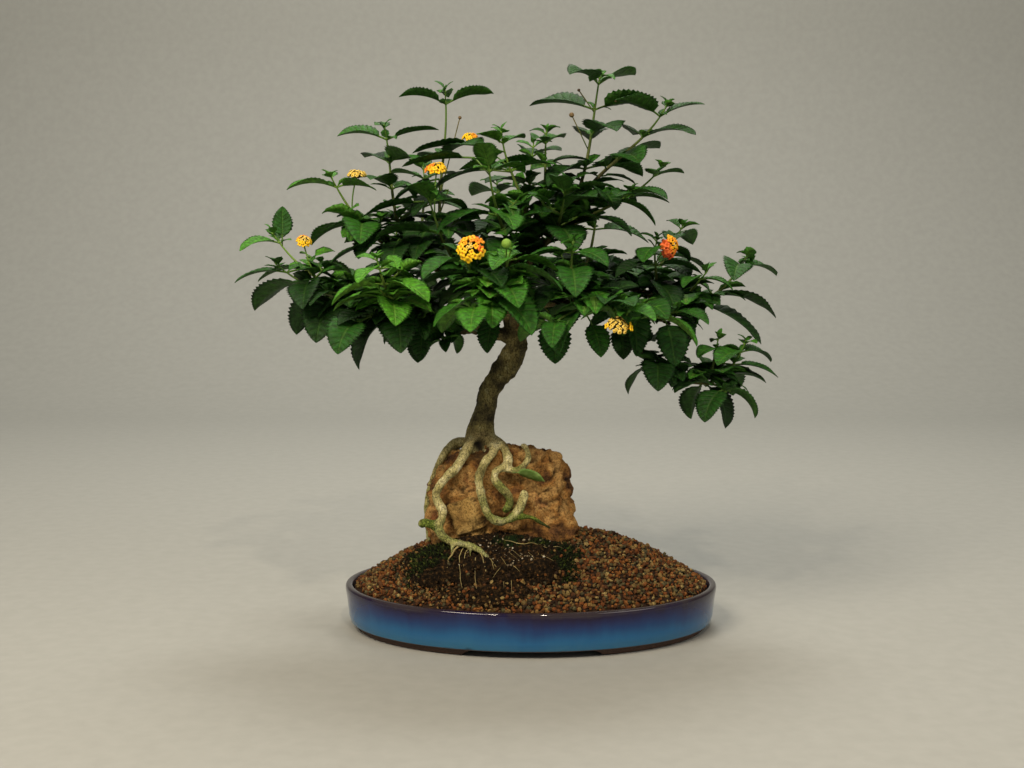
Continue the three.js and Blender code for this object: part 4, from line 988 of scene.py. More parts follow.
def wood_skin():
    """The grown skin pushed along its normals: furrows on the old wood, low knots on the roots.

    The values a point say where it is root, old bark, cut, burl, moss or shade, for the finish.
    """
    points, quads = grown_together(tubes, VOXEL)
    normals = point_normals(points, quads)
    height = points[:, 2]
    old = smooth_between(height, 186, 204) * (1 - smooth_between(height, 300, 330))
    roots = 1 - smooth_between(height, 176, 200)
    furrows = layered_noise(points * [1, 1, 0.35], 4.2, 2, seed=21)
    knots = layered_noise(points, 8, 3, seed=22)
    rings = layered_noise(points, 2.6, 1, seed=24)
    out = old * (1.3 * furrows + 1.2 * knots) + roots * (0.7 * knots + 0.35 * rings)
    out = out + (1 - old) * (1 - roots) * 0.3 * knots
    near_cut = np.linalg.norm(points - [-40, -7.4, 297], axis=1)
    low = smooth_between(layered_noise(points, 15, 2, seed=23) + 0.9 - (height - 84) / 70, 0, 0.6)
    top_side = smooth_between(normals[:, 2], 0.1, 0.7)
    mossy_root = np.max([nearness(points, middle, reach) for middle, reach in WET_MOSS], axis=0)
    # Between the two front roots the foot of the trunk is hollowed out, and painted shade darkens it to near
    # black.
    gap = nearness(points, [-50, -20, 184], [6.5, 14, 8])
    out = out - 4 * gap
    # Painted shade also darkens the low root on the right.
    painted_shade_right_root = nearness(points, [16, -49, 110], [15, 12, 9])
    moss = roots * np.clip(0.5 * low + 0.2 * top_side * low + 0.9 * mossy_root, 0, 1)
    return skin_of(points + normals * out[:, None], [quads], root=roots, old_bark=old, moss=moss,
                   shaded=np.maximum(gap, 0.72 * painted_shade_right_root), fresh_cut=1 - smooth_between(near_cut, 4.5, 6.5),
                   burl=nearness(points, [-1, -7, 309], 14))


# %% Bark finish
bark, tree, place = new_finish("lantana_bark_and_bared_root")
wide = add(tree, "TexNoise", {"Vector": place, "Scale": 70.0, "Detail": 5.0, "Roughness": 0.6})
drawn_out = add(tree, "Mapping", {"Vector": place, "Scale": (1.0, 1.0, 0.3)})
cracks = add(tree, "TexVoronoi", {"Vector": drawn_out, "Scale": 330.0}, feature="DISTANCE_TO_EDGE")
fine = add(tree, "TexNoise", {"Vector": place, "Scale": 600.0, "Detail": 4.0, "Roughness": 0.7})
clouded = {
    "twig": [(0.3, "#57492f"), (0.5, "#7d6c47"), (0.7, "#8a8556")],
    "old_bark": [(0.3, "#302b1a"), (0.45, "#544d2f"), (0.58, "#796f42"), (0.72, "#959064")],
    "root": [(0.3, "#6a6238"), (0.44, "#a39a62"), (0.56, "#cac088"), (0.7, "#e6dfb4")],
    "burl": [(0.3, "#5c3d22"), (0.5, "#94683b"), (0.7, "#b58a56")],
}
cover = {name: add(tree, "ValToRGB", {"Fac": wide}, stops) for name, stops in clouded.items()}
cover["moss"] = add(tree, "ValToRGB", {"Fac": fine}, [(0.3, "#2c3810"), (0.5, "#5a6c22"), (0.7, "#8f9a44")])
cover["fresh_cut"] = linear("#b69b6d")
share = {name: add(tree, "Attribute", attribute_name=name).outputs["Fac"]
         for name in ("root", "old_bark", "fresh_cut", "burl", "moss", "shaded")}
# Young twigs are the ground, and each later kind of surface lies over the ones before it.
tone = cover["twig"]
for name in ("old_bark", "root", "burl", "moss", "fresh_cut"):
    tone = add(tree, "Mix", {0: share[name], 6: tone, 7: cover[name]}, data_type="RGBA")
line = add(tree, "MapRange", {"Value": cracks, "From Max": 0.09, "To Min": 0.45})
dots = add(tree, "MapRange", {"Value": fine, "From Min": 0.36, "From Max": 0.52, "To Min": 0.3})
worn = add(tree, "Math", {0: line, 1: dots}, operation="MULTIPLY")
tone = add(tree, "Mix", {0: 1.0, 6: tone, 7: worn}, data_type="RGBA", blend_type="MULTIPLY")
# Painted shade: the wood turns near black where the mask shaded is high, between the front roots and on the
# low right root.
tone = add(tree, "Mix", {0: share["shaded"], 6: tone, 7: linear("#120d08")}, data_type="RGBA")
rough = add(tree, "Bump", {"Height": fine, "Strength": 0.8, "Distance": 0.0014})
shade(tree, {"Base Color": tone, "Roughness": 0.85, "Normal": rough, "Specular IOR Level": 0.25})
make_piece("trunk_limbs_and_roots", wood_skin(), bark, ["trunk_and_roots"])

# %% [markdown]
# Leaves
# A lantana leaf is oval with a pointed tip, toothed like a saw and sunk along its veins. A picture of a
# leaf on a plane would be quick, but it would have no form. Here each blade and its stalk are one closed
# skin: a ring of points, round along the stalk and flat and wide along the blade, is carried along an arc.
# The rows sweep forward towards the margin, as the veins do.

# %% Shoots as in the frame
# Limb, share along it, tip, pairs of leaves, size of a leaf, rise at the tip, youth, turn of the first pair.
SHOOTS = {
    "top_right": ["right_high", 0.7, [66, 5, 541], 4, 58, 0.4, 0.2, 2],
    "top_far_right": ["right_high", 1, [126, -6, 508], 3, 54, 0.4, 0.2, -28],
    "upper_right": ["right_high", 0.42, [120, -14, 450], 3, 42, 0.4, 0.3, 30],
    "top_left": ["left_high", 0.4, [-84, 6, 523], 3, 56, 0.3, 0.2, -28],
    "upper_left": ["left_high", 0.72, [-142, 0, 487], 4, 50, 0.5, 0.2, -28],
    "left_rise": ["left_high", 1, [-190, -14, 439], 2, 52, 0.4, 0.5, 150],
    "left_tip": ["left_low", 0.86, [-250, 4, 386], 3, 46, 0.6, 0.6, 215],
    "left_reach": ["left_low", 1, [-236, -42, 357], 3, 58, 0.3, 0.1, 165],
    "left_skirt": ["left_low", 0.66, [-190, -70, 338], 3, 40, -0.2, 0.0, 240],
    "bright_front": ["left_front", 1, [-138, -128, 362], 3, 46, 0.5, 1.0, 200],
    "hanging_front": ["left_front", 0.62, [-160, -104, 312], 3, 52, -0.5, 0.0, 250],
    "left_curtain": ["left_front", 0.28, [-112, -80, 314], 2, 42, -0.5, 0.1, 300],
    "small_rosette": ["left_low", 0.4, [-84, -38, 290], 2, 24, -0.5, 0.2, 270],
    "front_low": ["front", 0.9, [-52, -140, 326], 3, 54, -0.3, 0.5, 250],
    "bloom_front": ["front", 0.72, [-62, -118, 368], 3, 50, 0.4, 0.1, 190],
    "bud_front": ["front", 1, [-22, -136, 370], 3, 48, 0.5, 0.5, 10],
    "centre_left": ["left_high", 0.2, [-96, -72, 424], 3, 50, 0.7, 0.2, 200],
    "centre_front": ["leader", 0.46, [-40, -84, 452], 4, 52, 0.8, 0.4, 210],
    "centre_high": ["leader", 0.8, [-28, -12, 482], 3, 42, 0.7, 0.5, 190],
    "centre_crown": ["leader", 1, [14, -2, 482], 3, 42, 0.6, 0.3, 20],
    "centre_right": ["right_high", 0.36, [30, -84, 430], 3, 54, 0.6, 0.2, 340],
    "right_shoulder": ["right_high", 0.84, [88, -58, 428], 3, 46, 0.5, 0.2, 330],
    "right_bloom": ["right_mid", 0.66, [118, -44, 380], 3, 46, 0.3, 0.1, 20],
    "right_spray": ["right_mid", 0.84, [164, -30, 350], 2, 34, 0.3, 0.3, 350],
    "right_tip": ["right_mid", 1, [206, -8, 362], 2, 56, 0.6, 0.2, 10],
    "right_skirt": ["right_low", 0.9, [138, -42, 318], 1, 38, -0.2, 0.1, 330],
    "right_hang": ["right_drop", 0.62, [122, -34, 268], 1, 52, -0.9, 0.0, 238],
    "right_drop_up": ["right_drop", 0.97, [180, -26, 282], 2, 30, 0.9, 0.3, 170],
    "right_drop_tip": ["right_drop", 1, [205, -20, 278], 3, 46, 0.8, 0.2, 10],
    "right_drop_low": ["right_drop", 0.9, [186, -40, 242], 2, 46, -0.8, 0.0, 330],
    "right_front": ["right_low", 0.62, [112, -72, 314], 3, 54, -0.3, 0.4, 320],
    "front_right_low": ["front_right", 0.86, [20, -124, 312], 2, 46, -0.5, 0.3, 250],
    "front_right_tip": ["front_right", 1, [78, -128, 322], 3, 44, 0.1, 0.4, 300],
    "front_right_up": ["front_right", 0.5, [36, -100, 376], 3, 48, 0.6, 0.2, 300],
    "back_left_low": ["left_back", 1, [-192, 122, 340], 2, 52, 0.3, 0.1, 140],
    "back_left_up": ["left_back", 0.8, [-142, 100, 412], 3, 50, 0.7, 0.3, 120],
    "back_left_high": ["left_high", 0.56, [-110, 76, 452], 3, 50, 0.7, 0.3, 130],
    "back_low": ["back", 0.8, [-60, 160, 330], 2, 50, -0.2, 0.0, 100],
    "back_tip": ["back", 1, [6, 162, 366], 2, 52, 0.4, 0.2, 80],
    "back_up": ["back", 0.56, [-34, 112, 438], 3, 52, 0.8, 0.2, 90],
    "back_high": ["leader", 0.62, [2, 62, 474], 3, 48, 0.7, 0.3, 70],
    "back_right_tip": ["back_right", 1, [142, 118, 360], 2, 52, 0.3, 0.2, 50],
    "back_right_low": ["back_right", 0.72, [76, 146, 326], 2, 50, -0.2, 0.1, 60],
    "back_right_up": ["back_right", 0.5, [72, 96, 426], 3, 50, 0.7, 0.3, 40],
    "right_rear": ["right_mid", 0.54, [152, 66, 392], 3, 48, 0.5, 0.2, 30],
}
# How a blade may be turned, tilted and shrunk to find a free place. Each is tried to all sides in turn.
STEPS = [
    (0, 0, 1), (12, 0, 1), (0, 12, 1), (20, 10, 1), (30, 0, 0.92), (0, 24, 0.92), (35, 18, 0.88),
    (50, 0, 0.84), (0, 36, 0.84), (45, 28, 0.76), (0, 0, 0.64), (25, 0, 0.64), (0, 20, 0.64),
]
tries = [(side * turn, way * tilt, size) for turn, tilt, size in STEPS for way in (1, -1) for side in (1, -1)]
TRIES = np.array([*dict.fromkeys(tries), (60, 20, 0.64), (-60, 20, 0.64)])
# A blade is found when a tip comes within this many mm of a point of the frame.
TIP_MATCH = 0.3


def bezier(points, share):
    """A Bezier curve of four points: each is weighted by its term of (1 - t) plus t to the third power."""
    t = np.atleast_1d(share)[:, None]
    first, second, third, last = points
    return (1 - t) ** 3 * first + 3 * (1 - t) ** 2 * t * second + 3 * (1 - t) * t ** 2 * third + t ** 3 * last


def way_along(curve, share):
    """The unit direction of a curve, from two places just before and just after the share."""
    share = np.atleast_1d(share).astype(float)
    return unit(curve(np.minimum(share + 1e-4, 1)) - curve(np.maximum(share - 1e-4, 0)))


def limb_curve(name):
    """A limb's path as a function of the share along it."""
    return lambda share: through(LIMBS[name][0], share)


def stem_curve(name):
    """A shoot's path: it leaves along its limb and arrives at its tip turned up or down by the rise."""
    limb, along, tip, _, _, rise, _, _ = SHOOTS[name]
    path = limb_curve(limb)
    start = path(along)[0]
    tip = np.array(tip, float)
    span = np.linalg.norm(tip - start)
    reach = (tip - start) / span
    leaving = unit(0.6 * reach + 0.8 * way_along(path, along)[0])
    arriving = unit(reach + np.array([0, 0, rise]))
    controls = [start, start + 0.35 * span * leaving, tip - 0.35 * span * arriving, tip]
    return lambda share: bezier(controls, share)


def leaf_point(plan, share, across, lift):
    """A point of a leaf whose midrib is an arc from tilt_start to tilt_end, rolled about that midrib.

    The way out and up along an arc are differences of sines and cosines of the tilt, divided by the bend.
    """
    length = plan["length"]
    start = plan["tilt_start"]
    bend = (plan["tilt_end"] - start) / (1.2 * length)
    tilt = start + bend * (0.2 + share) * length
    out = (np.sin(tilt) - np.sin(start)) / bend
    up = (np.cos(start) - np.cos(tilt)) / bend
    c, s = np.cos(plan["heading"]), np.sin(plan["heading"])
    cr, sr = np.cos(plan["roll"]), np.sin(plan["roll"])
    ct, st = np.cos(tilt), np.sin(tilt)
    x = c * out + (-s * cr - st * c * sr) * across + (-st * c * cr + s * sr) * lift
    y = s * out + (c * cr - st * s * sr) * across + (-st * s * cr - c * sr) * lift
    z = up + ct * sr * across + ct * cr * lift
    return plan["foot"] + np.stack(np.broadcast_arrays(x, y, z), -1)


def ovate(share):
    """Half the width of a blade as a share of its greatest, at 0.38 of its length: two powers multiplied."""
    share = np.clip(share, 0, 1)
    return share ** 0.5 * (1 - share) ** 0.8 / 0.4206


def pair_plans(number, shoot, stem, tries):
    """How the blades of a shoot grow: arrays of pair by side by try, with the same draws as the frame's."""
    _, _, _, pairs, size, rise, _, turn = shoot
    pair = np.arange(pairs)[:, None, None]
    side = np.arange(2)[None, :, None]
    extra_turn, extra_tilt, share = (tries[None, None, :, k] for k in range(3))
    seed = number * 40 + pair * 2 + side
    age = pair / (pairs - 1) if pairs > 1 else np.ones((1, 1, 1))
    along = 0.36 + 0.62 * age ** 0.85
    foot = stem(along.ravel())[:, None, None]
    tangent = way_along(stem, along.ravel())[:, None, None]
    step = (pair - (pairs - 1.6)) * (34 + 30 * np.abs(tangent[..., 2]))
    bearing = np.radians(turn + step + side * 180 + 24 * (draw(seed, 1) - 0.5))
    heading = np.arctan2(np.sin(bearing) + 0.9 * tangent[..., 1], np.cos(bearing) + 0.9 * tangent[..., 0])
    sag = 40 * max(0, -rise) + 30 * smooth_between(480 - foot[..., 2], 0, 110)
    start = 22 + 8 * age - 0.5 * sag + 10 * (draw(seed, 3) - 0.5) + extra_tilt
    end = -24 + 12 * age - sag + 18 * (draw(seed, 4) - 0.5) + extra_tilt
    plan = {
        "heading": heading + np.radians(extra_turn), "tilt_start": np.radians(start),
        "tilt_end": np.radians(end),
        "length": size * (1 - 0.2 * age ** 2.6) * (0.88 + 0.24 * draw(seed, 2)) * share,
        "roll": np.radians(36 * (draw(seed, 5) - 0.5)), "fold": np.radians(10 + 14 * draw(seed, 6)),
        "along": along,
    }
    shape = (pairs, 2, len(tries))
    plan = {key: np.broadcast_to(value, shape) for key, value in plan.items()}
    plan["foot"] = np.broadcast_to(foot, shape + (3,))
    return plan


def frame_points(node):
    """The points of a frame node in mm from the tray's centre."""
    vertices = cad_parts[node].data.vertices
    points = np.empty(len(vertices) * 3)
    vertices.foreach_get("co", points)
    return points.reshape(-1, 3) * 1000 - SHIFT


def plans_in_frame(number, name, stem):
    """The try that each blade took: the one whose tip is a point of the frame's node."""
    plan = pair_plans(number, SHOOTS[name], stem, TRIES)
    tips = leaf_point(plan, 1.0, 0.0, 0.0)
    corners = frame_points(f"shoot_{name}")
    gap = np.linalg.norm(tips[..., None, :] - corners, axis=-1).min(-1)
    choice = gap.argmin(-1)[..., None]
    found = np.take_along_axis(gap, choice, -1)[..., 0] < TIP_MATCH
    foot = plan.pop("foot")[..., 0, :][found]
    taken = {key: np.take_along_axis(value, choice, -1)[..., 0][found] for key, value in plan.items()}
    return {**taken, "foot": foot}


# %% The skin of many leaves at once
# Half the width of a blade as a share of its length, before it is made broader or narrower.
HALF_WIDTH = 0.335
# How far the margin stands out on each second row, and how far it stands in on the others.
TOOTH, NOTCH = 1.055, 0.91


def leaf_skins(plans, rows, columns, youth):
    """Leaves as closed rings carried from stalk to tip, for all plans at once.

    Across the blade the ring is flat, half as wide as the ovate rule says, folded up from the midrib,
    sunk along the veins and domed between them. Every second row of the margin stands out as a tooth.
    The upper side has all the columns and the lower side, which is seldom seen, only a few.
    """
    count = len(plans["length"])
    plans = {key: value[:, None, None] for key, value in plans.items()}
    line = np.concatenate([np.linspace(-0.2, 0, 5)[:-1], np.linspace(0, 1, rows)])[None, :, None]
    top = np.linspace(1, -1, columns)
    bottom = np.linspace(-1, 1, (columns + 1) // 2)[1:-1]
    across = np.concatenate([top, bottom])
    above = np.concatenate([np.sign(1 - np.abs(top)), -np.ones(len(bottom))])
    size = plans["length"]
    blade = np.maximum(line, 0)
    share = line + 0.7 * np.abs(across) * blade * (1 - blade)
    seed = draw(np.arange(count) * 3.7 + size[:, 0, 0], 9)[:, None, None]
    stands = np.where(np.arange(line.size) % 2 == 1, TOOTH, NOTCH)[:, None]
    teeth = np.where(np.abs(across) == 1, stands, 1.0)
    # Hanging leaves are broader, and no two leaves are alike.
    broad = 0.9 + 0.22 * seed + 0.14 * smooth_between(-plans["tilt_end"], 0.6, 1.2)
    width = HALF_WIDTH * size * broad * ovate(np.where(line > 0, share, 0)) * teeth
    stalk = 0.62 + 0.006 * size
    width = np.maximum(width, stalk * np.where(line > 0.5, 0.2, 1.0))
    is_blade = smooth_between(line, 0.0, 0.12)
    thick = (stalk * (1 - is_blade) + 0.22 * is_blade) * np.sqrt(np.clip(1 - across ** 2, 0, 1))
    side = np.abs(across)
    domes = 0.022 * size * (1 - np.cos(16 * math.pi * line)) * (side * (1 - side)) ** 0.6 * ovate(blade)
    channel = 0.012 * size * np.exp(-(across / 0.22) ** 2) * (1 - blade)
    wave = 0.035 * size * np.sin(2 * math.pi * (1.3 * line + seed)) * across ** 3 * blade * (1 - blade) * 2
    fold = width * side * np.sin(plans["fold"]) * (1.2 - 0.3 * side)
    lift = fold + is_blade * (domes - channel + wave) + above * thick
    points = leaf_point(plans, share, across * width * np.cos(plans["fold"]), lift)
    points = np.clip(points, BOX_LOW + 0.2, BOX_HIGH - 0.2)
    return skin_of(points, u=line, v=across / 2 + 0.5, youth=youth[:, None, None], tint=seed,
                   under=np.clip(-above, 0, 1), woody=0.0)


# Stems and buds have the same values a point as leaves, so that one finish serves all.
STEM_VALUES = {"u": -0.1, "v": 0.5, "tint": 0.5, "under": 0.0}


def stem_skin(path, radii, sides, youth, woody):
    """A stem as a tube, whose woodiness runs from the first given value at its foot to the second."""
    skin = tube(path, radii, sides)
    woody = np.repeat(np.linspace(*woody, len(path)), sides)
    return skin_of(skin["points"], skin["faces"], youth=youth, woody=woody, **STEM_VALUES)


# %% [markdown]
# Small leaves in the axils
# Behind almost every leaf of a lantana a bud has opened a pair of small leaves, short twigs fill the inside
# of the crown, and every stem ends in a tuft of tiny leaves. The frame leaves these out; here they grow
# from the same stems and limbs, from 6 to 40 mm long, so that every leaf hangs on something.

# %% Plans for small leaves
def sprout_plans(feet, ahead, turn, size, rise):
    """Opposite leaves at each foot: the second faces away from the first, and both are swept forward."""
    count = len(feet)
    bearing = np.repeat(turn, 2) + np.tile([0, math.pi], count) + rng.normal(0, 0.25, 2 * count)
    along = np.repeat(ahead, 2, axis=0)
    start = np.radians(rng.uniform(18, 52, 2 * count) + np.repeat(rise, 2))
    return {
        "heading": np.arctan2(np.sin(bearing) + 0.6 * along[:, 1], np.cos(bearing) + 0.6 * along[:, 0]),
        "tilt_start": start, "tilt_end": start - np.radians(rng.uniform(35, 75, 2 * count)),
        "length": np.repeat(size, 2) * rng.uniform(0.8, 1.15, 2 * count),
        "roll": rng.normal(0, 0.3, 2 * count), "fold": np.radians(rng.uniform(8, 24, 2 * count)),
        "foot": np.repeat(feet, 2, axis=0),
    }


def tip_tuft(stem, turn, growth, size):
    """The growing tip: two crossed pairs of tiny leaves on a last bit of stem, which is also given back."""
    ahead = way_along(stem, 1.0)[0]
    end = stem(1.0)[0]
    path = end + ahead * np.linspace(0, growth, 4)[:, None]
    feet = np.stack([path[-2], path[-1]])
    plans = sprout_plans(feet, np.stack([ahead, ahead]), turn + np.array([0.0, math.pi / 2]),
                         size * np.array([1.0, 0.55]), np.array([8.0, 30.0]))
    return path, plans


def side_twigs(stem, shares, turn, size):
    """Short side twigs, one a share, each turned from the last, with two crossed pairs near its end."""
    twigs = []
    for number, share in enumerate(shares):
        bearing = turn + 2.4 * number
        ahead = unit(np.array([math.cos(bearing), math.sin(bearing), 0.3]) + 0.5 * way_along(stem, share)[0])
        path = stem(share)[0] + ahead * np.linspace(0, 0.36 * size, 5)[:, None]
        pairs = sprout_plans(path[[2, 4]], np.stack([ahead, ahead]), bearing + np.array([0.8, 2.4]),
                             size * np.array([0.56, 0.46]), np.array([-4.0, 8.0]))
        twigs.append((path, pairs))
    return twigs


def kept_in_box(plans, margin=3):
    """Drops the leaves whose midrib or margins come within a margin of the object's box."""
    spans = [leaf_point(plans, share, side * 0.32 * plans["length"], 0)
             for share in (0.4, 1.0) for side in (-1, 0, 1)]
    low, high = np.min(spans, axis=0), np.max(spans, axis=0)
    keep = (low > BOX_LOW + margin).all(1) & (high < BOX_HIGH - margin).all(1)
    return {key: value[keep] for key, value in plans.items()}


# %% [markdown]
# The leaf's finish
# The upper side is a waxy dark green with paler veins and a soft shine, the underside is greyer, and young
# leaves are a bright yellow-green. The veins follow the blade's own map: one midrib, and eight pairs of
# side veins on the rows of the mesh. Values in the mesh say how young each leaf is.

# %% Waxy leaf
VEIN_PAIRS = 8.0
leaf_finish, tree, place = new_finish("waxy_lantana_leaf_and_stem")
uv = add(tree, "SeparateXYZ", {"Vector": add(tree, "UVMap", uv_map="UVMap")})
share = {name: add(tree, "Attribute", attribute_name=name).outputs["Fac"]
         for name in ("youth", "tint", "under", "woody")}
cloud = add(tree, "TexNoise", {"Vector": place, "Scale": 55.0, "Detail": 3.0})
mixed = add(tree, "Math", {0: share["tint"], 1: 0.34, 2: -0.17}, operation="MULTIPLY_ADD")
mixed = add(tree, "Math", {0: cloud, 1: 0.3, 2: mixed}, operation="MULTIPLY_ADD")
fresh = add(tree, "Math", {0: share["youth"], 1: mixed}, operation="ADD")
upper = add(tree, "ValToRGB", {"Fac": fresh}, [
    (0.0, "#0d2806"), (0.2, "#153c09"), (0.42, "#20520e"), (0.7, "#357216"), (1.0, "#4b8c20"),
])
lower = add(tree, "ValToRGB", {"Fac": fresh}, [(0.0, "#22441a"), (0.5, "#3b6622"), (1.0, "#679a34")])
blade = add(tree, "Mix", {0: share["under"], 6: upper, 7: lower}, data_type="RGBA")
from_middle = add(tree, "Math", {0: uv.outputs["Y"], 1: 0.5}, operation="SUBTRACT")
from_middle = add(tree, "Math", {0: from_middle}, operation="ABSOLUTE")
midrib = add(tree, "MapRange", {"Value": from_middle, "From Min": 0.012, "From Max": 0.05, "To Min": 1.0,
                                "To Max": 0.0})
repeat = add(tree, "Math", {0: uv.outputs["X"], 1: VEIN_PAIRS}, operation="MULTIPLY")
nearest = add(tree, "Math", {0: repeat, 1: 0.5}, operation="PINGPONG")
side_vein = add(tree, "MapRange", {"Value": nearest, "From Min": 0.02, "From Max": 0.13, "To Min": 0.6,
                                   "To Max": 0.0})
vein = add(tree, "Math", {0: midrib, 1: side_vein}, operation="MAXIMUM")
quilt = add(tree, "TexNoise", {"Vector": place, "Scale": 260.0, "Detail": 2.0})
# Painted light and shade on the quilting: the colour is lighter where the quilt noise raises the bump, and
# darker along the side veins than between them.
painted_quilt_light = add(tree, "MapRange", {"Value": quilt, "From Min": 0.35, "From Max": 0.65,
                               "To Min": 0.62, "To Max": 1.25})
swell = add(tree, "MapRange", {"Value": nearest, "From Max": 0.5, "To Min": 0.72, "To Max": 1.12})
painted_quilt_light = add(tree, "Math", {0: painted_quilt_light, 1: swell}, operation="MULTIPLY")
blade = add(tree, "Mix", {0: 1.0, 6: blade, 7: painted_quilt_light}, data_type="RGBA", blend_type="MULTIPLY")
net = add(tree, "TexVoronoi", {"Vector": place, "Scale": 620.0}, feature="DISTANCE_TO_EDGE")
vein_share = add(tree, "Math", {0: vein, 1: 0.2}, operation="MULTIPLY")
vein_colour = add(tree, "ValToRGB", {"Fac": fresh}, [(0.0, "#3c682a"), (1.0, "#9cc458")])
blade = add(tree, "Mix", {0: vein_share, 6: blade, 7: vein_colour}, data_type="RGBA")
green_stem = add(tree, "ValToRGB", {"Fac": fresh}, [(0.0, "#3d5c22"), (0.6, "#5f8430"), (1.0, "#84aa42")])
brown_stem = add(tree, "ValToRGB", {"Fac": cloud}, [(0.35, "#4d3d28"), (0.65, "#7b6646")])
stem_colour = add(tree, "Mix", {0: share["woody"], 6: green_stem, 7: brown_stem}, data_type="RGBA")
on_blade = add(tree, "MapRange", {"Value": uv.outputs["X"], "From Min": -0.02, "From Max": 0.03})
colour = add(tree, "Mix", {0: on_blade, 6: stem_colour, 7: blade}, data_type="RGBA")
heights = add(tree, "Math", {0: net, 1: vein}, operation="SUBTRACT")
heights = add(tree, "Math", {0: quilt, 1: heights}, operation="ADD")
relief = add(tree, "Bump", {"Height": heights, "Strength": 0.7, "Distance": 0.0011})
wax = add(tree, "MapRange", {"Value": cloud, "From Min": 0.3, "From Max": 0.7,
                             "To Min": 0.5, "To Max": 0.66})
shade(tree, {"Base Color": colour, "Roughness": wax, "Normal": relief, "Specular IOR Level": 0.26})

# %% Flower heads as in the frame
# The shoot that carries the head, share along it, the head's middle and facing, its radius.
HEADS = {
    "head_front": ["bloom_front", 0.8, [-55, -152, 380], [-0.1, -1, 0.3], 14],
    "head_upper_left": ["centre_left", 0.86, [-90, -66, 453], [-0.1, -0.35, 1], 12],
    "head_left": ["left_rise", 0.6, [-169, -24, 449], [0, -0.2, 1], 11],
    "head_far_left": ["left_reach", 0.5, [-219, -34, 386], [0.2, -0.6, 0.8], 9],
    "head_top": ["centre_high", 0.75, [-60, 2, 487], [0, -0.3, 1], 9],
    "head_right": ["right_bloom", 0.72, [130, -52, 380], [0.7, -0.7, -0.1], 13],
    "head_low_right": ["front_right_tip", 0.7, [76, -138, 311], [0.1, -0.7, 0.8], 12],
}
# Spent stalks, each with a scar at its end, and the green bud: shoot, share along it, end, its radius.
SPENT = [
    ["top_right", 0.78, [46, -3, 532], 1.6],
    ["top_right", 0.8, [82, -2, 522], 1.6],
    ["top_right", 0.5, [39, -6, 508], 2.6],
    ["top_left", 0.5, [-70, 2, 506], 1.8],
    ["bud_front", 0.8, [-24, -152, 384], 4.5],
]


def flower_stalk(stem, along, place, facing, radius):
    """A stalk as a quadratic curve from its stem to just inside the head."""
    start = stem(along)[0]
    end = np.array(place) - unit(facing) * radius * 0.3
    middle = (start + end) / 2 + way_along(stem, along)[0] * 0.12 * np.linalg.norm(end - start)
    t = np.linspace(0, 1, 9)[:, None]
    return (1 - t) ** 2 * start + 2 * (1 - t) * t * middle + t ** 2 * end


def knob(centre, radius, youth, woody):
    """A small bumpy ball, for a bud or a stalk's scar."""
    way = directions(9, 12)
    bumps = 1 + 0.16 * np.sin(6 * np.arctan2(way[..., 1], way[..., 0])) * np.cos(9 * way[..., 2])
    points = np.array(centre) + way * (radius * bumps)[..., None]
    return skin_of(points, youth=youth, woody=woody, **STEM_VALUES)


# %% Every shoot
# A tip higher than this has smaller and fewer small leaves; the next two leave a shoot without side twigs.
# All are in mm, as is the length below which a small leaf gets fewer faces.
TALL_TIP = 495
OPEN_ABOVE = 480
OPEN_RIGHT_OF = 60
TINY_LEAF = 24


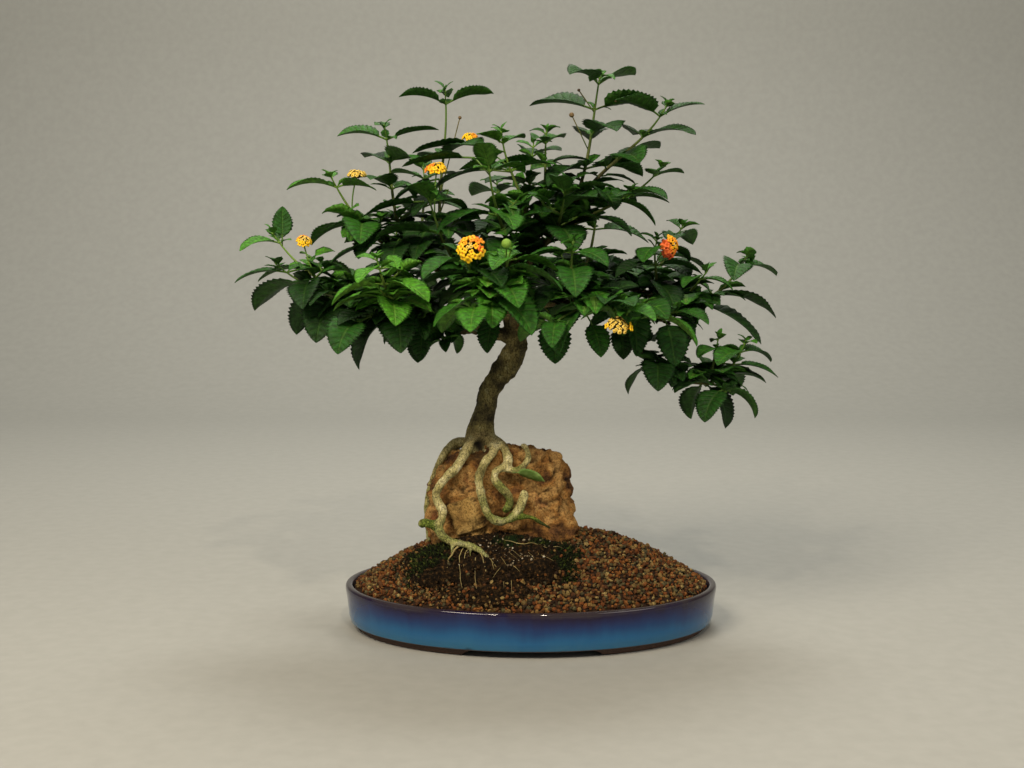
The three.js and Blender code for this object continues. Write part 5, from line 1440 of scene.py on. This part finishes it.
def shoot_skin(number, name):
    """A shoot's stem, its frame leaves, small leaves in the axils and low on the stem, and its stalks."""
    _, _, tip, _, size, rise, youth, turn = SHOOTS[name]
    stem = stem_curve(name)
    path = even_path(stem, 4)
    radii = np.interp(np.linspace(0, 1, len(path)), [0, 0.5, 1], [1.9, 1.5, 0.8])
    parts = [stem_skin(path, radii, 8, youth, [0.9, 0])]
    plans = plans_in_frame(number, name, stem)
    parts.append(leaf_skins(plans, 33, 9, youth + 0.25 * (plans["along"] - 0.7)))
    tall = tip[2] > TALL_TIP
    nodes = np.unique(plans["along"])
    low = np.array([0.1, 0.2] if tall else [0.1, 0.2, 0.3])
    shares = np.concatenate([nodes, low])
    sizes = np.concatenate([size * (0.62 - 0.34 * nodes) * (1 - 0.3 * tall), rng.uniform(26, 40, len(low))])
    bearings = np.radians(turn) + 1.2 + rng.uniform(0, 3, len(shares))
    rises = np.where(shares > 0.35, 14.0, -6.0)
    small = sprout_plans(stem(shares), way_along(stem, shares), bearings, sizes, rises)
    growth = min(11.0 if rise > 0 else 3.0, BOX_HIGH[2] - 12 - tip[2])
    last_turn = plans["heading"][plans["along"].argmax()]
    path, tuft = tip_tuft(stem, last_turn + 1.4, max(growth, 1.0), 12 + 0.1 * size)
    parts.append(stem_skin(path, 0.75, 6, youth + 0.1, [0, 0]))
    groups = [small, tuft]
    # The open shoots get no side twigs, and the others are filled with them.
    filled = np.concatenate([nodes[:-1], low[-2:]]) if len(nodes) > 1 else nodes
    if tip[2] > OPEN_ABOVE or tip[0] > OPEN_RIGHT_OF:
        filled = []
    for path, pairs_of_twig in side_twigs(stem, filled, math.radians(turn) + 0.8, size):
        groups.append(pairs_of_twig)
        parts.append(stem_skin(path, 0.8, 6, youth, [0.3, 0]))
    small = kept_in_box({key: np.concatenate([group[key] for group in groups]) for key in small})
    tiny = small["length"] < TINY_LEAF
    for group, rows, columns, extra in ((tiny, 9, 5, 0.25), (~tiny, 11, 7, 0.12)):
        chosen = {key: value[group] for key, value in small.items()}
        parts.append(leaf_skins(chosen, rows, columns, np.full(group.sum(), youth + extra)))
    for carrier, start, place, facing, radius in HEADS.values():
        if carrier == name:
            parts.append(stem_skin(flower_stalk(stem, start, place, facing, radius), 0.75, 6, 0.5, [0, 0]))
    for carrier, start, end, radius in SPENT:
        if carrier == name:
            scar = radius < 4
            stalk = np.linspace(stem(start)[0], end, 5)
            parts.append(stem_skin(stalk, 0.6, 6, 0.4, [0.2, 0.9 if scar else 0.2]))
            parts.append(knob(end, radius * 0.96, 0.75, scar))
    return joined(parts), len(plans["length"]), len(small["length"])


frame_leaves, small_leaves = 0, 0
for number, name in enumerate(SHOOTS):
    skin, large, small = shoot_skin(number, name)
    make_piece(f"leafy_{name}", skin, leaf_finish, [f"shoot_{name}"])
    frame_leaves += large
    small_leaves += small
print("leaves found in the frame:", frame_leaves, "small leaves added:", small_leaves)

# %% Leaves along the limbs
# Millimetres from one pair on a limb to the next.
PAIR_STEP = 11
limb_leaves = []
for name in LIMBS:
    path = limb_curve(name)
    shares = np.arange(0.28, 0.98, PAIR_STEP / len(even_path(path, 1.0)))
    count = len(shares)
    plans = sprout_plans(path(shares), way_along(path, shares), rng.uniform(0, 6.28, count),
                         rng.uniform(26, 42, count), rng.uniform(-20, 30, count))
    plans = kept_in_box(plans)
    limb_leaves.append(leaf_skins(plans, 11, 7, rng.uniform(-0.05, 0.2, len(plans["length"]))))
make_piece("leaves_on_the_limbs", joined(limb_leaves), leaf_finish)

# %% Single leaves that hang below or stand above the crown
LONE_LEAVES = [
    # limb or shoot, share along it, foot of the leaf, heading and two tilts in degrees, length, youth
    ["front_right", 0.3, [20, -58, 314], -84, -50, -88, 39, 0.12],
    ["right_low", 0.62, [84, -26, 306], -70, -50, -86, 31, 0.0],
    ["front_right", 0.66, [54, -72, 312], -60, -40, -80, 33, 0.3],
    ["front", 0.42, [-36, -44, 316], -112, -45, -84, 34, 0.2],
    ["right_low", 0.94, [128, -34, 312], -62, -50, -86, 42, 0.0],
    ["left_tip", 0.95, [-246, 3, 386], 96, 62, 74, 31, 0.25],
    ["right_mid", 0.97, [166, -2, 325], -14, -14, -52, 62, 0.05],
    ["left_front", 0.55, [-104, -54, 306], -96, -50, -86, 30, 0.1],
    ["left_low", 0.6, [-112, -26, 300], -80, -55, -86, 28, 0.0],
    ["centre_high", 0.9, [-52, -14, 478], 186, 8, -22, 54, 0.3],
    ["centre_front", 0.96, [-54, -52, 464], 184, 4, -18, 58, 0.2],
    ["top_left", 0.5, [-90, -12, 446], 202, -8, -48, 48, 0.1],
    ["upper_left", 0.35, [-104, -20, 424], 192, 0, -28, 52, 0.1],
    ["top_left", 0.4, [-82, 8, 436], 232, -8, -46, 50, 0.0],
    ["centre_high", 0.7, [-42, -30, 454], 216, 0, -36, 54, 0.0],
    ["left_rise", 0.3, [-156, -10, 403], 192, 4, -26, 42, 0.2],
    ["left_high", 0.97, [-146, -16, 395], 246, -10, -50, 44, 0.1],
    ["left_high", 0.9, [-150, -34, 384], 206, -6, -44, 46, 0.1],
    ["left_high", 0.8, [-128, -20, 388], 262, -14, -56, 44, 0.0],
]


def one_leaf(foot, heading, tilts, length, roll, fold):
    """The plan of a single leaf, with its angles in degrees and its lengths in mm."""
    angles = {"heading": heading, "tilt_start": tilts[0], "tilt_end": tilts[1], "roll": roll, "fold": fold}
    plan = {name: np.radians([float(angle)]) for name, angle in angles.items()}
    return {**plan, "foot": np.array([foot], float), "length": np.array([float(length)])}


lone_parts = []
for carrier, share, foot, heading, start, end, length, youth in LONE_LEAVES:
    plan = one_leaf(foot, heading, (start, end), length, roll=8, fold=12)
    lone_parts.append(leaf_skins(plan, 25, 9, np.array([youth])))
    path = stem_curve(carrier) if carrier in SHOOTS else limb_curve(carrier)
    lone_parts.append(stem_skin(np.linspace(path(share)[0], foot, 4), 0.8, 6, 0.3, [0.5, 0]))
make_piece("single_hanging_leaves", joined(lone_parts), leaf_finish)

# %% [markdown]
# The dropped leaf
# One pale green leaf lies on the stone, with the same skin as every other leaf's. The frame slid it back
# until it touched, so its place is read from the frame.

# %% Fallen leaf
fallen = one_leaf([-18, -54, 163], -8, (-6, -26), 27, roll=-48, fold=10)
tip = leaf_point(fallen, 1.0, 0.0, 0.0)[0]
corners = frame_points("fallen_leaf")
nearest_corner = corners[np.abs(corners[:, [0, 2]] - tip[[0, 2]]).sum(1).argmin()]
fallen["foot"] += [0, nearest_corner[1] - tip[1], 0]
dropped = leaf_skins(fallen, 25, 9, np.array([1.0]))
wilted, tree, place = new_finish("wilted_leaf")
cloud = add(tree, "TexNoise", {"Vector": place, "Scale": 160.0, "Detail": 3.0})
tone = add(tree, "ValToRGB", {"Fac": cloud}, [(0.35, "#55742f"), (0.65, "#7f9a52")])
shade(tree, {"Base Color": tone, "Roughness": 0.6, "Specular IOR Level": 0.3})
make_piece("dropped_leaf", dropped, wilted, ["fallen_leaf"])
print("the dropped leaf slid back by mm:", round(nearest_corner[1] - tip[1], 2))

# %% [markdown]
# Flower heads
# A lantana head is a flat dome of small florets, each a narrow tube that opens to four round lobes. They
# open from the outside in and turn from yellow to orange and red, so the outer rings are the redder ones,
# and the middle is still in bud: square knobs with pale edges. A floret is a surface of turning with four
# lobes, and all the florets of a ring are made in one array.

# %% Florets in rings
def florets(centres, axes, radii, spins, flush, opened):
    """Florets at once: rows run from the throat over the lobes' edge to the back and down the tube.

    The radius swings by the fourth part of a turn, which makes the lobes; a bud has shallow lobes and a
    domed face in place of the flat one.
    """
    count, sides = len(centres), 16
    out = np.array([0.04, 0.16, 0.42, 0.7, 0.9, 1.0, 0.95, 0.6, 0.2, 0.14])[:, None]
    flat = np.array([-0.5, -0.2, 0.0, 0.06, 0.02, -0.08, -0.16, -0.18, -0.5, -2.0])[:, None]
    domed = np.array([0.3, 0.3, 0.24, 0.08, -0.12, -0.35, -0.6, -0.9, -1.3, -2.4])[:, None]
    bud = 1 - opened[:, None, None]
    turn = -turns(sides)
    lobes = 1 - (0.36 - 0.22 * bud) * (1 - np.abs(np.cos(2 * turn)) ** 0.7) * smooth_between(out, 0.2, 0.8)
    cup = 0.1 * np.cos(4 * turn) * out ** 2
    radius = radii[:, None, None]
    side = unit(np.cross(axes, unit(rng.normal(size=(count, 3)))))[:, None, None]
    over = np.cross(axes[:, None, None], side)
    angle = turn + spins[:, None, None]
    around = np.cos(angle)[..., None] * side + np.sin(angle)[..., None] * over
    height = radius * (flat * (1 - bud) + domed * bud + cup)
    points = centres[:, None, None] + (radius * out * lobes)[..., None] * around \
        + height[..., None] * axes[:, None, None]
    return skin_of(points, flush=flush[:, None, None], rim=out, bud=bud)


def head_skin(row, look):
    """A head: rings of florets round its axis on a flattened dome. The look is [redness, blush, open rings].

    The blush is the way in which the florets are redder than the rest of their ring. Half an open ring
    means that only the outermost florets at the head's two ends have opened. A ring is its lean from the
    axis in degrees, its count and the size of a floret as a share of the head's radius.
    """
    _, _, place, facing, radius = row
    redness, blush, open_rings = look
    axis = unit(facing)
    side = unit(np.cross(axis, [0.3, 0.9, 0.1]))
    over = np.cross(axis, side)
    rings = [(82, 9, 0.29), (56, 8, 0.26), (30, 5, 0.2), (10, 3, 0.14)]
    if open_rings < 1:
        rings = [(80, 12, 0.19), (60, 10, 0.18), (40, 7, 0.17), (20, 4, 0.15), (0, 1, 0.13)]
    parts = []
    for number, (lean, count, size) in enumerate(rings):
        bearing = (np.arange(count) + 0.5 * (number % 2)) / count * 2 * math.pi + rng.normal(0, 0.09, count)
        tilt = np.radians(lean + rng.normal(0, 3, count))[:, None]
        around = np.cos(bearing)[:, None] * side + np.sin(bearing)[:, None] * over
        way = 0.6 * np.cos(tilt) * axis + np.sin(tilt) * around
        centres = np.array(place) + way * radius * rng.uniform(0.7, 0.86, (count, 1))
        facings = unit(way + (0.35 + 0.5 * np.cos(tilt)) * axis)
        red = redness * (0.5 + 0.5 * np.sin(tilt[:, 0]) ** 2) + 0.45 * (unit(way) @ unit(blush))
        flush = np.clip(red + rng.normal(0, 0.14, count), 0, 1)
        at_ends = (number == 0) & (0 < open_rings < 1) & (np.abs(way[:, 0]) > 0.85)
        opened = np.where(number < int(open_rings), 1.0, at_ends) - rng.uniform(0, 0.2, count)
        opened = np.clip(opened, 0, 1)
        centres += (0.25 * radius * np.sign(way[:, 0]) * at_ends)[:, None] * [1, 0, 0]
        radii = radius * (size + 0.08 * at_ends) * rng.uniform(0.88, 1.12, count)
        parts.append(florets(centres, facings, radii, rng.uniform(0, 6.3, count), flush, opened))
    # A flattened ball fills the head behind its florets. Its rim value of 0.02 gives it the buds' near-black
    # first colour: painted shade in the gaps between florets.
    way = directions(10, 16)
    core = np.array(place) + radius * (0.5 * way - 0.24 * (way @ axis)[..., None] * axis)
    return joined([*parts, skin_of(core, flush=0.3, rim=0.02, bud=1.0)])


# %% Petal finish
petal, tree, place = new_finish("soft_lantana_petal")
share = {name: add(tree, "Attribute", attribute_name=name).outputs["Fac"] for name in ("flush", "rim", "bud")}
tone = add(tree, "ValToRGB", {"Fac": share["flush"]}, [
    (0.0, "#ffd020"), (0.25, "#fdb216"), (0.5, "#f68a20"), (0.75, "#e8602e"), (1.0, "#cc3a22"),
])
throat = add(tree, "MapRange", {"Value": share["rim"], "From Min": 0.1, "From Max": 0.45, "To Min": 0.8,
                                "To Max": 0.0})
tone = add(tree, "Mix", {0: throat, 6: tone, 7: linear("#c65f08")}, data_type="RGBA")
# In the buds' ramp the near-black first colour is painted shade on the core ball, and the dark last colours
# are painted shade round each bud's widest rows, where the buds press together.
bud_rim = add(tree, "ValToRGB", {"Fac": share["rim"]}, [
    (0.03, "#1e1b08"), (0.12, "#8a6a10"), (0.42, "#e6ba3a"), (0.74, "#f4dc7c"), (0.93, "#7a5e14"),
    (1.0, "#282108"),
])
tone = add(tree, "Mix", {0: share["bud"], 6: tone, 7: bud_rim}, data_type="RGBA")
cells = add(tree, "TexNoise", {"Vector": place, "Scale": 900.0, "Detail": 2.0})
soft = add(tree, "Bump", {"Height": cells, "Strength": 0.3, "Distance": 0.0003})
shade(tree, {"Base Color": tone, "Roughness": 0.7, "Normal": soft, "Specular IOR Level": 0.25})

# %% The seven heads
HEAD_LOOKS = {
    "head_front": [0.12, [0.6, 0, 0.8], 3],
    "head_upper_left": [0, [-1, 0, 0], 3],
    "head_left": [0, [0, 0, 1], 0],
    "head_far_left": [0, [0, 0, 1], 2],
    "head_top": [0, [1, 0, 0], 3],
    "head_right": [0.75, [-0.7, 0, -0.7], 4],
    "head_low_right": [0, [0, 0, 1], 0.5],
}
for name, row in HEADS.items():
    make_piece(f"florets_{name}", head_skin(row, HEAD_LOOKS[name]), petal, [f"flower_{name}"])

# %% [markdown]
# Moss, perlite and fine roots
# Moss grows at the peat's left and right and round the root ends, white perlite shows as specks among
# crumbs, and hair-fine roots hang down its front. Each is many copies of a very small form on the peat's
# own surface: sprigs with four faces, stones with twenty, and thin tubes.

# %% Moss sprigs
def sprigs(feet, ways, heights):
    """Each sprig is a closed spike: a small triangle at its foot, a point at its tip, and three sides."""
    count = len(feet)
    side = unit(np.cross(ways, unit(rng.normal(size=(count, 3)))))
    over = np.cross(ways, side)
    turn = turns(3)[:, None]
    around = np.cos(turn) * side[:, None] + np.sin(turn) * over[:, None]
    foot = feet[:, None] + 0.42 * heights[:, None, None] * around
    tip = feet + ways * heights[:, None]
    points = np.concatenate([foot, tip[:, None]], axis=1)
    one = np.array([[0, 1, 3], [1, 2, 3], [2, 0, 3], [2, 1, 0]])
    faces = one + (np.arange(count) * 4)[:, None, None]
    return skin_of(points, [faces.reshape(-1, 3)], tint=rng.random(count)[:, None])


moss_green, tree, place = new_finish("cushion_moss")
tint = add(tree, "Attribute", attribute_name="tint").outputs["Fac"]
tone = add(tree, "ValToRGB", {"Fac": tint}, [
    (0.0, "#070903"), (0.5, "#121708"), (0.85, "#26300f"), (1.0, "#48521f"),
])
shade(tree, {"Base Color": tone, "Roughness": 0.9, "Specular IOR Level": 0.15})
ways = unit(rng.normal(size=(26000, 3)) * [1, 1, 0.7] + [0, -0.35, 0.25])
seats = peat_surface(ways)
growing = (mossy(seats) > rng.random(len(seats))) & (ways[:, 2] > 0) & ~inside_stone(seats)
growing &= above_heap(seats) > -1
seats, ways = seats[growing], ways[growing]
lean = unit(ways + [0, 0, 0.5] + rng.normal(0, 0.35, ways.shape))
moss_skin = sprigs(seats, lean, rng.uniform(2.0, 4.0, len(seats)))
make_piece("moss_on_the_peat", moss_skin, moss_green, smooth=False)
print("moss sprigs:", len(seats))

# %% Perlite on the peat
MOST_SPECKS = 240
perlite, tree, place = new_finish("crushed_white_perlite")
pores = add(tree, "TexNoise", {"Vector": place, "Scale": 1400.0, "Detail": 2.0})
tint = add(tree, "Attribute", attribute_name="grit").outputs["Fac"]
tone = add(tree, "ValToRGB", {"Fac": tint}, [(0.0, "#54442f"), (0.5, "#8a7d63"), (1.0, "#c8c2ae")])
relief = add(tree, "Bump", {"Height": pores, "Strength": 0.5, "Distance": 0.0004})
shade(tree, {"Base Color": tone, "Roughness": 0.85, "Normal": relief})
ways = unit(rng.normal(size=(1500, 3)) * [1.1, 0.8, 0.5] + [0.35, -1.0, 0.75])
seats = peat_surface(ways)
# Specks lie thickest left of the middle and high on the face.
crowding = np.exp(-((seats[:, 0] + 24) / 34) ** 2) * smooth_between(seats[:, 2], 78, 102)
shown = (above_heap(seats) > 0) & ~inside_stone(seats) & (crowding > rng.random(len(seats)) * 0.6)
seats = seats[shown][:MOST_SPECKS]
specks = stones(seats, rng.uniform(0.55, 1.45, len(seats)), rng.random(len(seats)) ** 1.4)
make_piece("perlite_specks", specks, perlite, smooth=False)
print("perlite specks:", len(seats))

# %% Crumbs that stand out from the peat's face
MOST_CRUMBS = 620
ways = unit(rng.normal(size=(2600, 3)) * [1.1, 0.8, 0.5] + [0, -0.8, 0.5])
seats = peat_surface(ways)
seats = seats[(above_heap(seats) > -1) & ~inside_stone(seats)][:MOST_CRUMBS]
crumbs = stones(seats, rng.uniform(0.7, 2.1, len(seats)), rng.random(len(seats)))
make_piece("peat_crumbs", crumbs, peat_finish, smooth=False)
print("peat crumbs:", len(seats))

# %% Fine roots
rootlet, tree, place = new_finish("hair_fine_pale_root")
cloud = add(tree, "TexNoise", {"Vector": place, "Scale": 60.0})
tone = add(tree, "ValToRGB", {"Fac": cloud}, [(0.3, "#5d5030"), (0.7, "#a8985f")])
shade(tree, {"Base Color": tone, "Roughness": 0.7})
# Roots that hang from the end of the long front root, and a few more over the peat: radius and path.
THREADS = [
    [1.1, [[-68, -60, 95], [-75, -66, 90], [-79, -77, 84], [-80, -86, 78]]],
    [0.8, [[-58, -64, 94], [-51, -70, 91], [-46, -86, 86], [-43, -97, 72]]],
    [0.5, [[-66, -64, 92], [-69, -80, 86], [-68, -93, 73], [-66, -98, 62]]],
    [0.4, [[-60, -66, 92], [-64, -76, 88], [-65, -89, 80]]],
    [0.4, [[-44, -70, 90], [-39, -86, 86], [-33, -93, 80]]],
    [0.45, [[-54, -82, 87], [-54, -96, 74], [-52, -104, 60]]],
    [0.4, [[-26, -60, 99], [-12, -64, 97], [2, -60, 96], [14, -62, 92]]],
    [0.35, [[30, -68, 80], [44, -60, 76], [56, -52, 71]]],
]
# Roots that lie anywhere on the peat's front.
STRAY_ROOTS = 12
threads = []
for radius, points in THREADS:
    path = even_path(lambda t: through(points, t), 2)
    sway = 0.8 * np.stack([soft_noise(path, 7, seed=40 + k) for k in range(3)], -1)
    threads.append(tube(path + sway, np.linspace(radius, 0.45 * radius, len(path)), 6))
for _ in range(STRAY_ROOTS):
    turn = math.radians(-84 + rng.normal(0, 28))
    high = math.radians(rng.uniform(24, 60))
    low = high - math.radians(rng.uniform(4, 12))
    t = np.linspace(0, 1, 9)
    tilt = high + (low - high) * t
    wander = turn + rng.normal(0, 0.1) * t
    ways = np.stack([np.cos(tilt) * np.cos(wander), np.cos(tilt) * np.sin(wander), np.sin(tilt)], -1)
    path = peat_surface(ways) + ways * (1.0 + 1.6 * np.sin(math.pi * t) * rng.random())[:, None]
    if not inside_stone(path).any():
        threads.append(tube(path, np.linspace(0.26, 0.14, 9), 4))
make_piece("fine_roots", joined(threads), rootlet)

# %% [markdown]
# Sizes
# The dressed tree has to stay inside the frame's box, so how far it grows beyond that box is printed.

# %% Write the sizes and finish
low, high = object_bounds()
print("grown beyond the box, mm:", ((np.array(cad_low) - np.array(low)) * 1000).round(2),
      ((np.array(high) - np.array(cad_high)) * 1000).round(2))
print("triangles in all:", sum(PIECE_SIZES.values()), "largest piece:", max(PIECE_SIZES.values()))
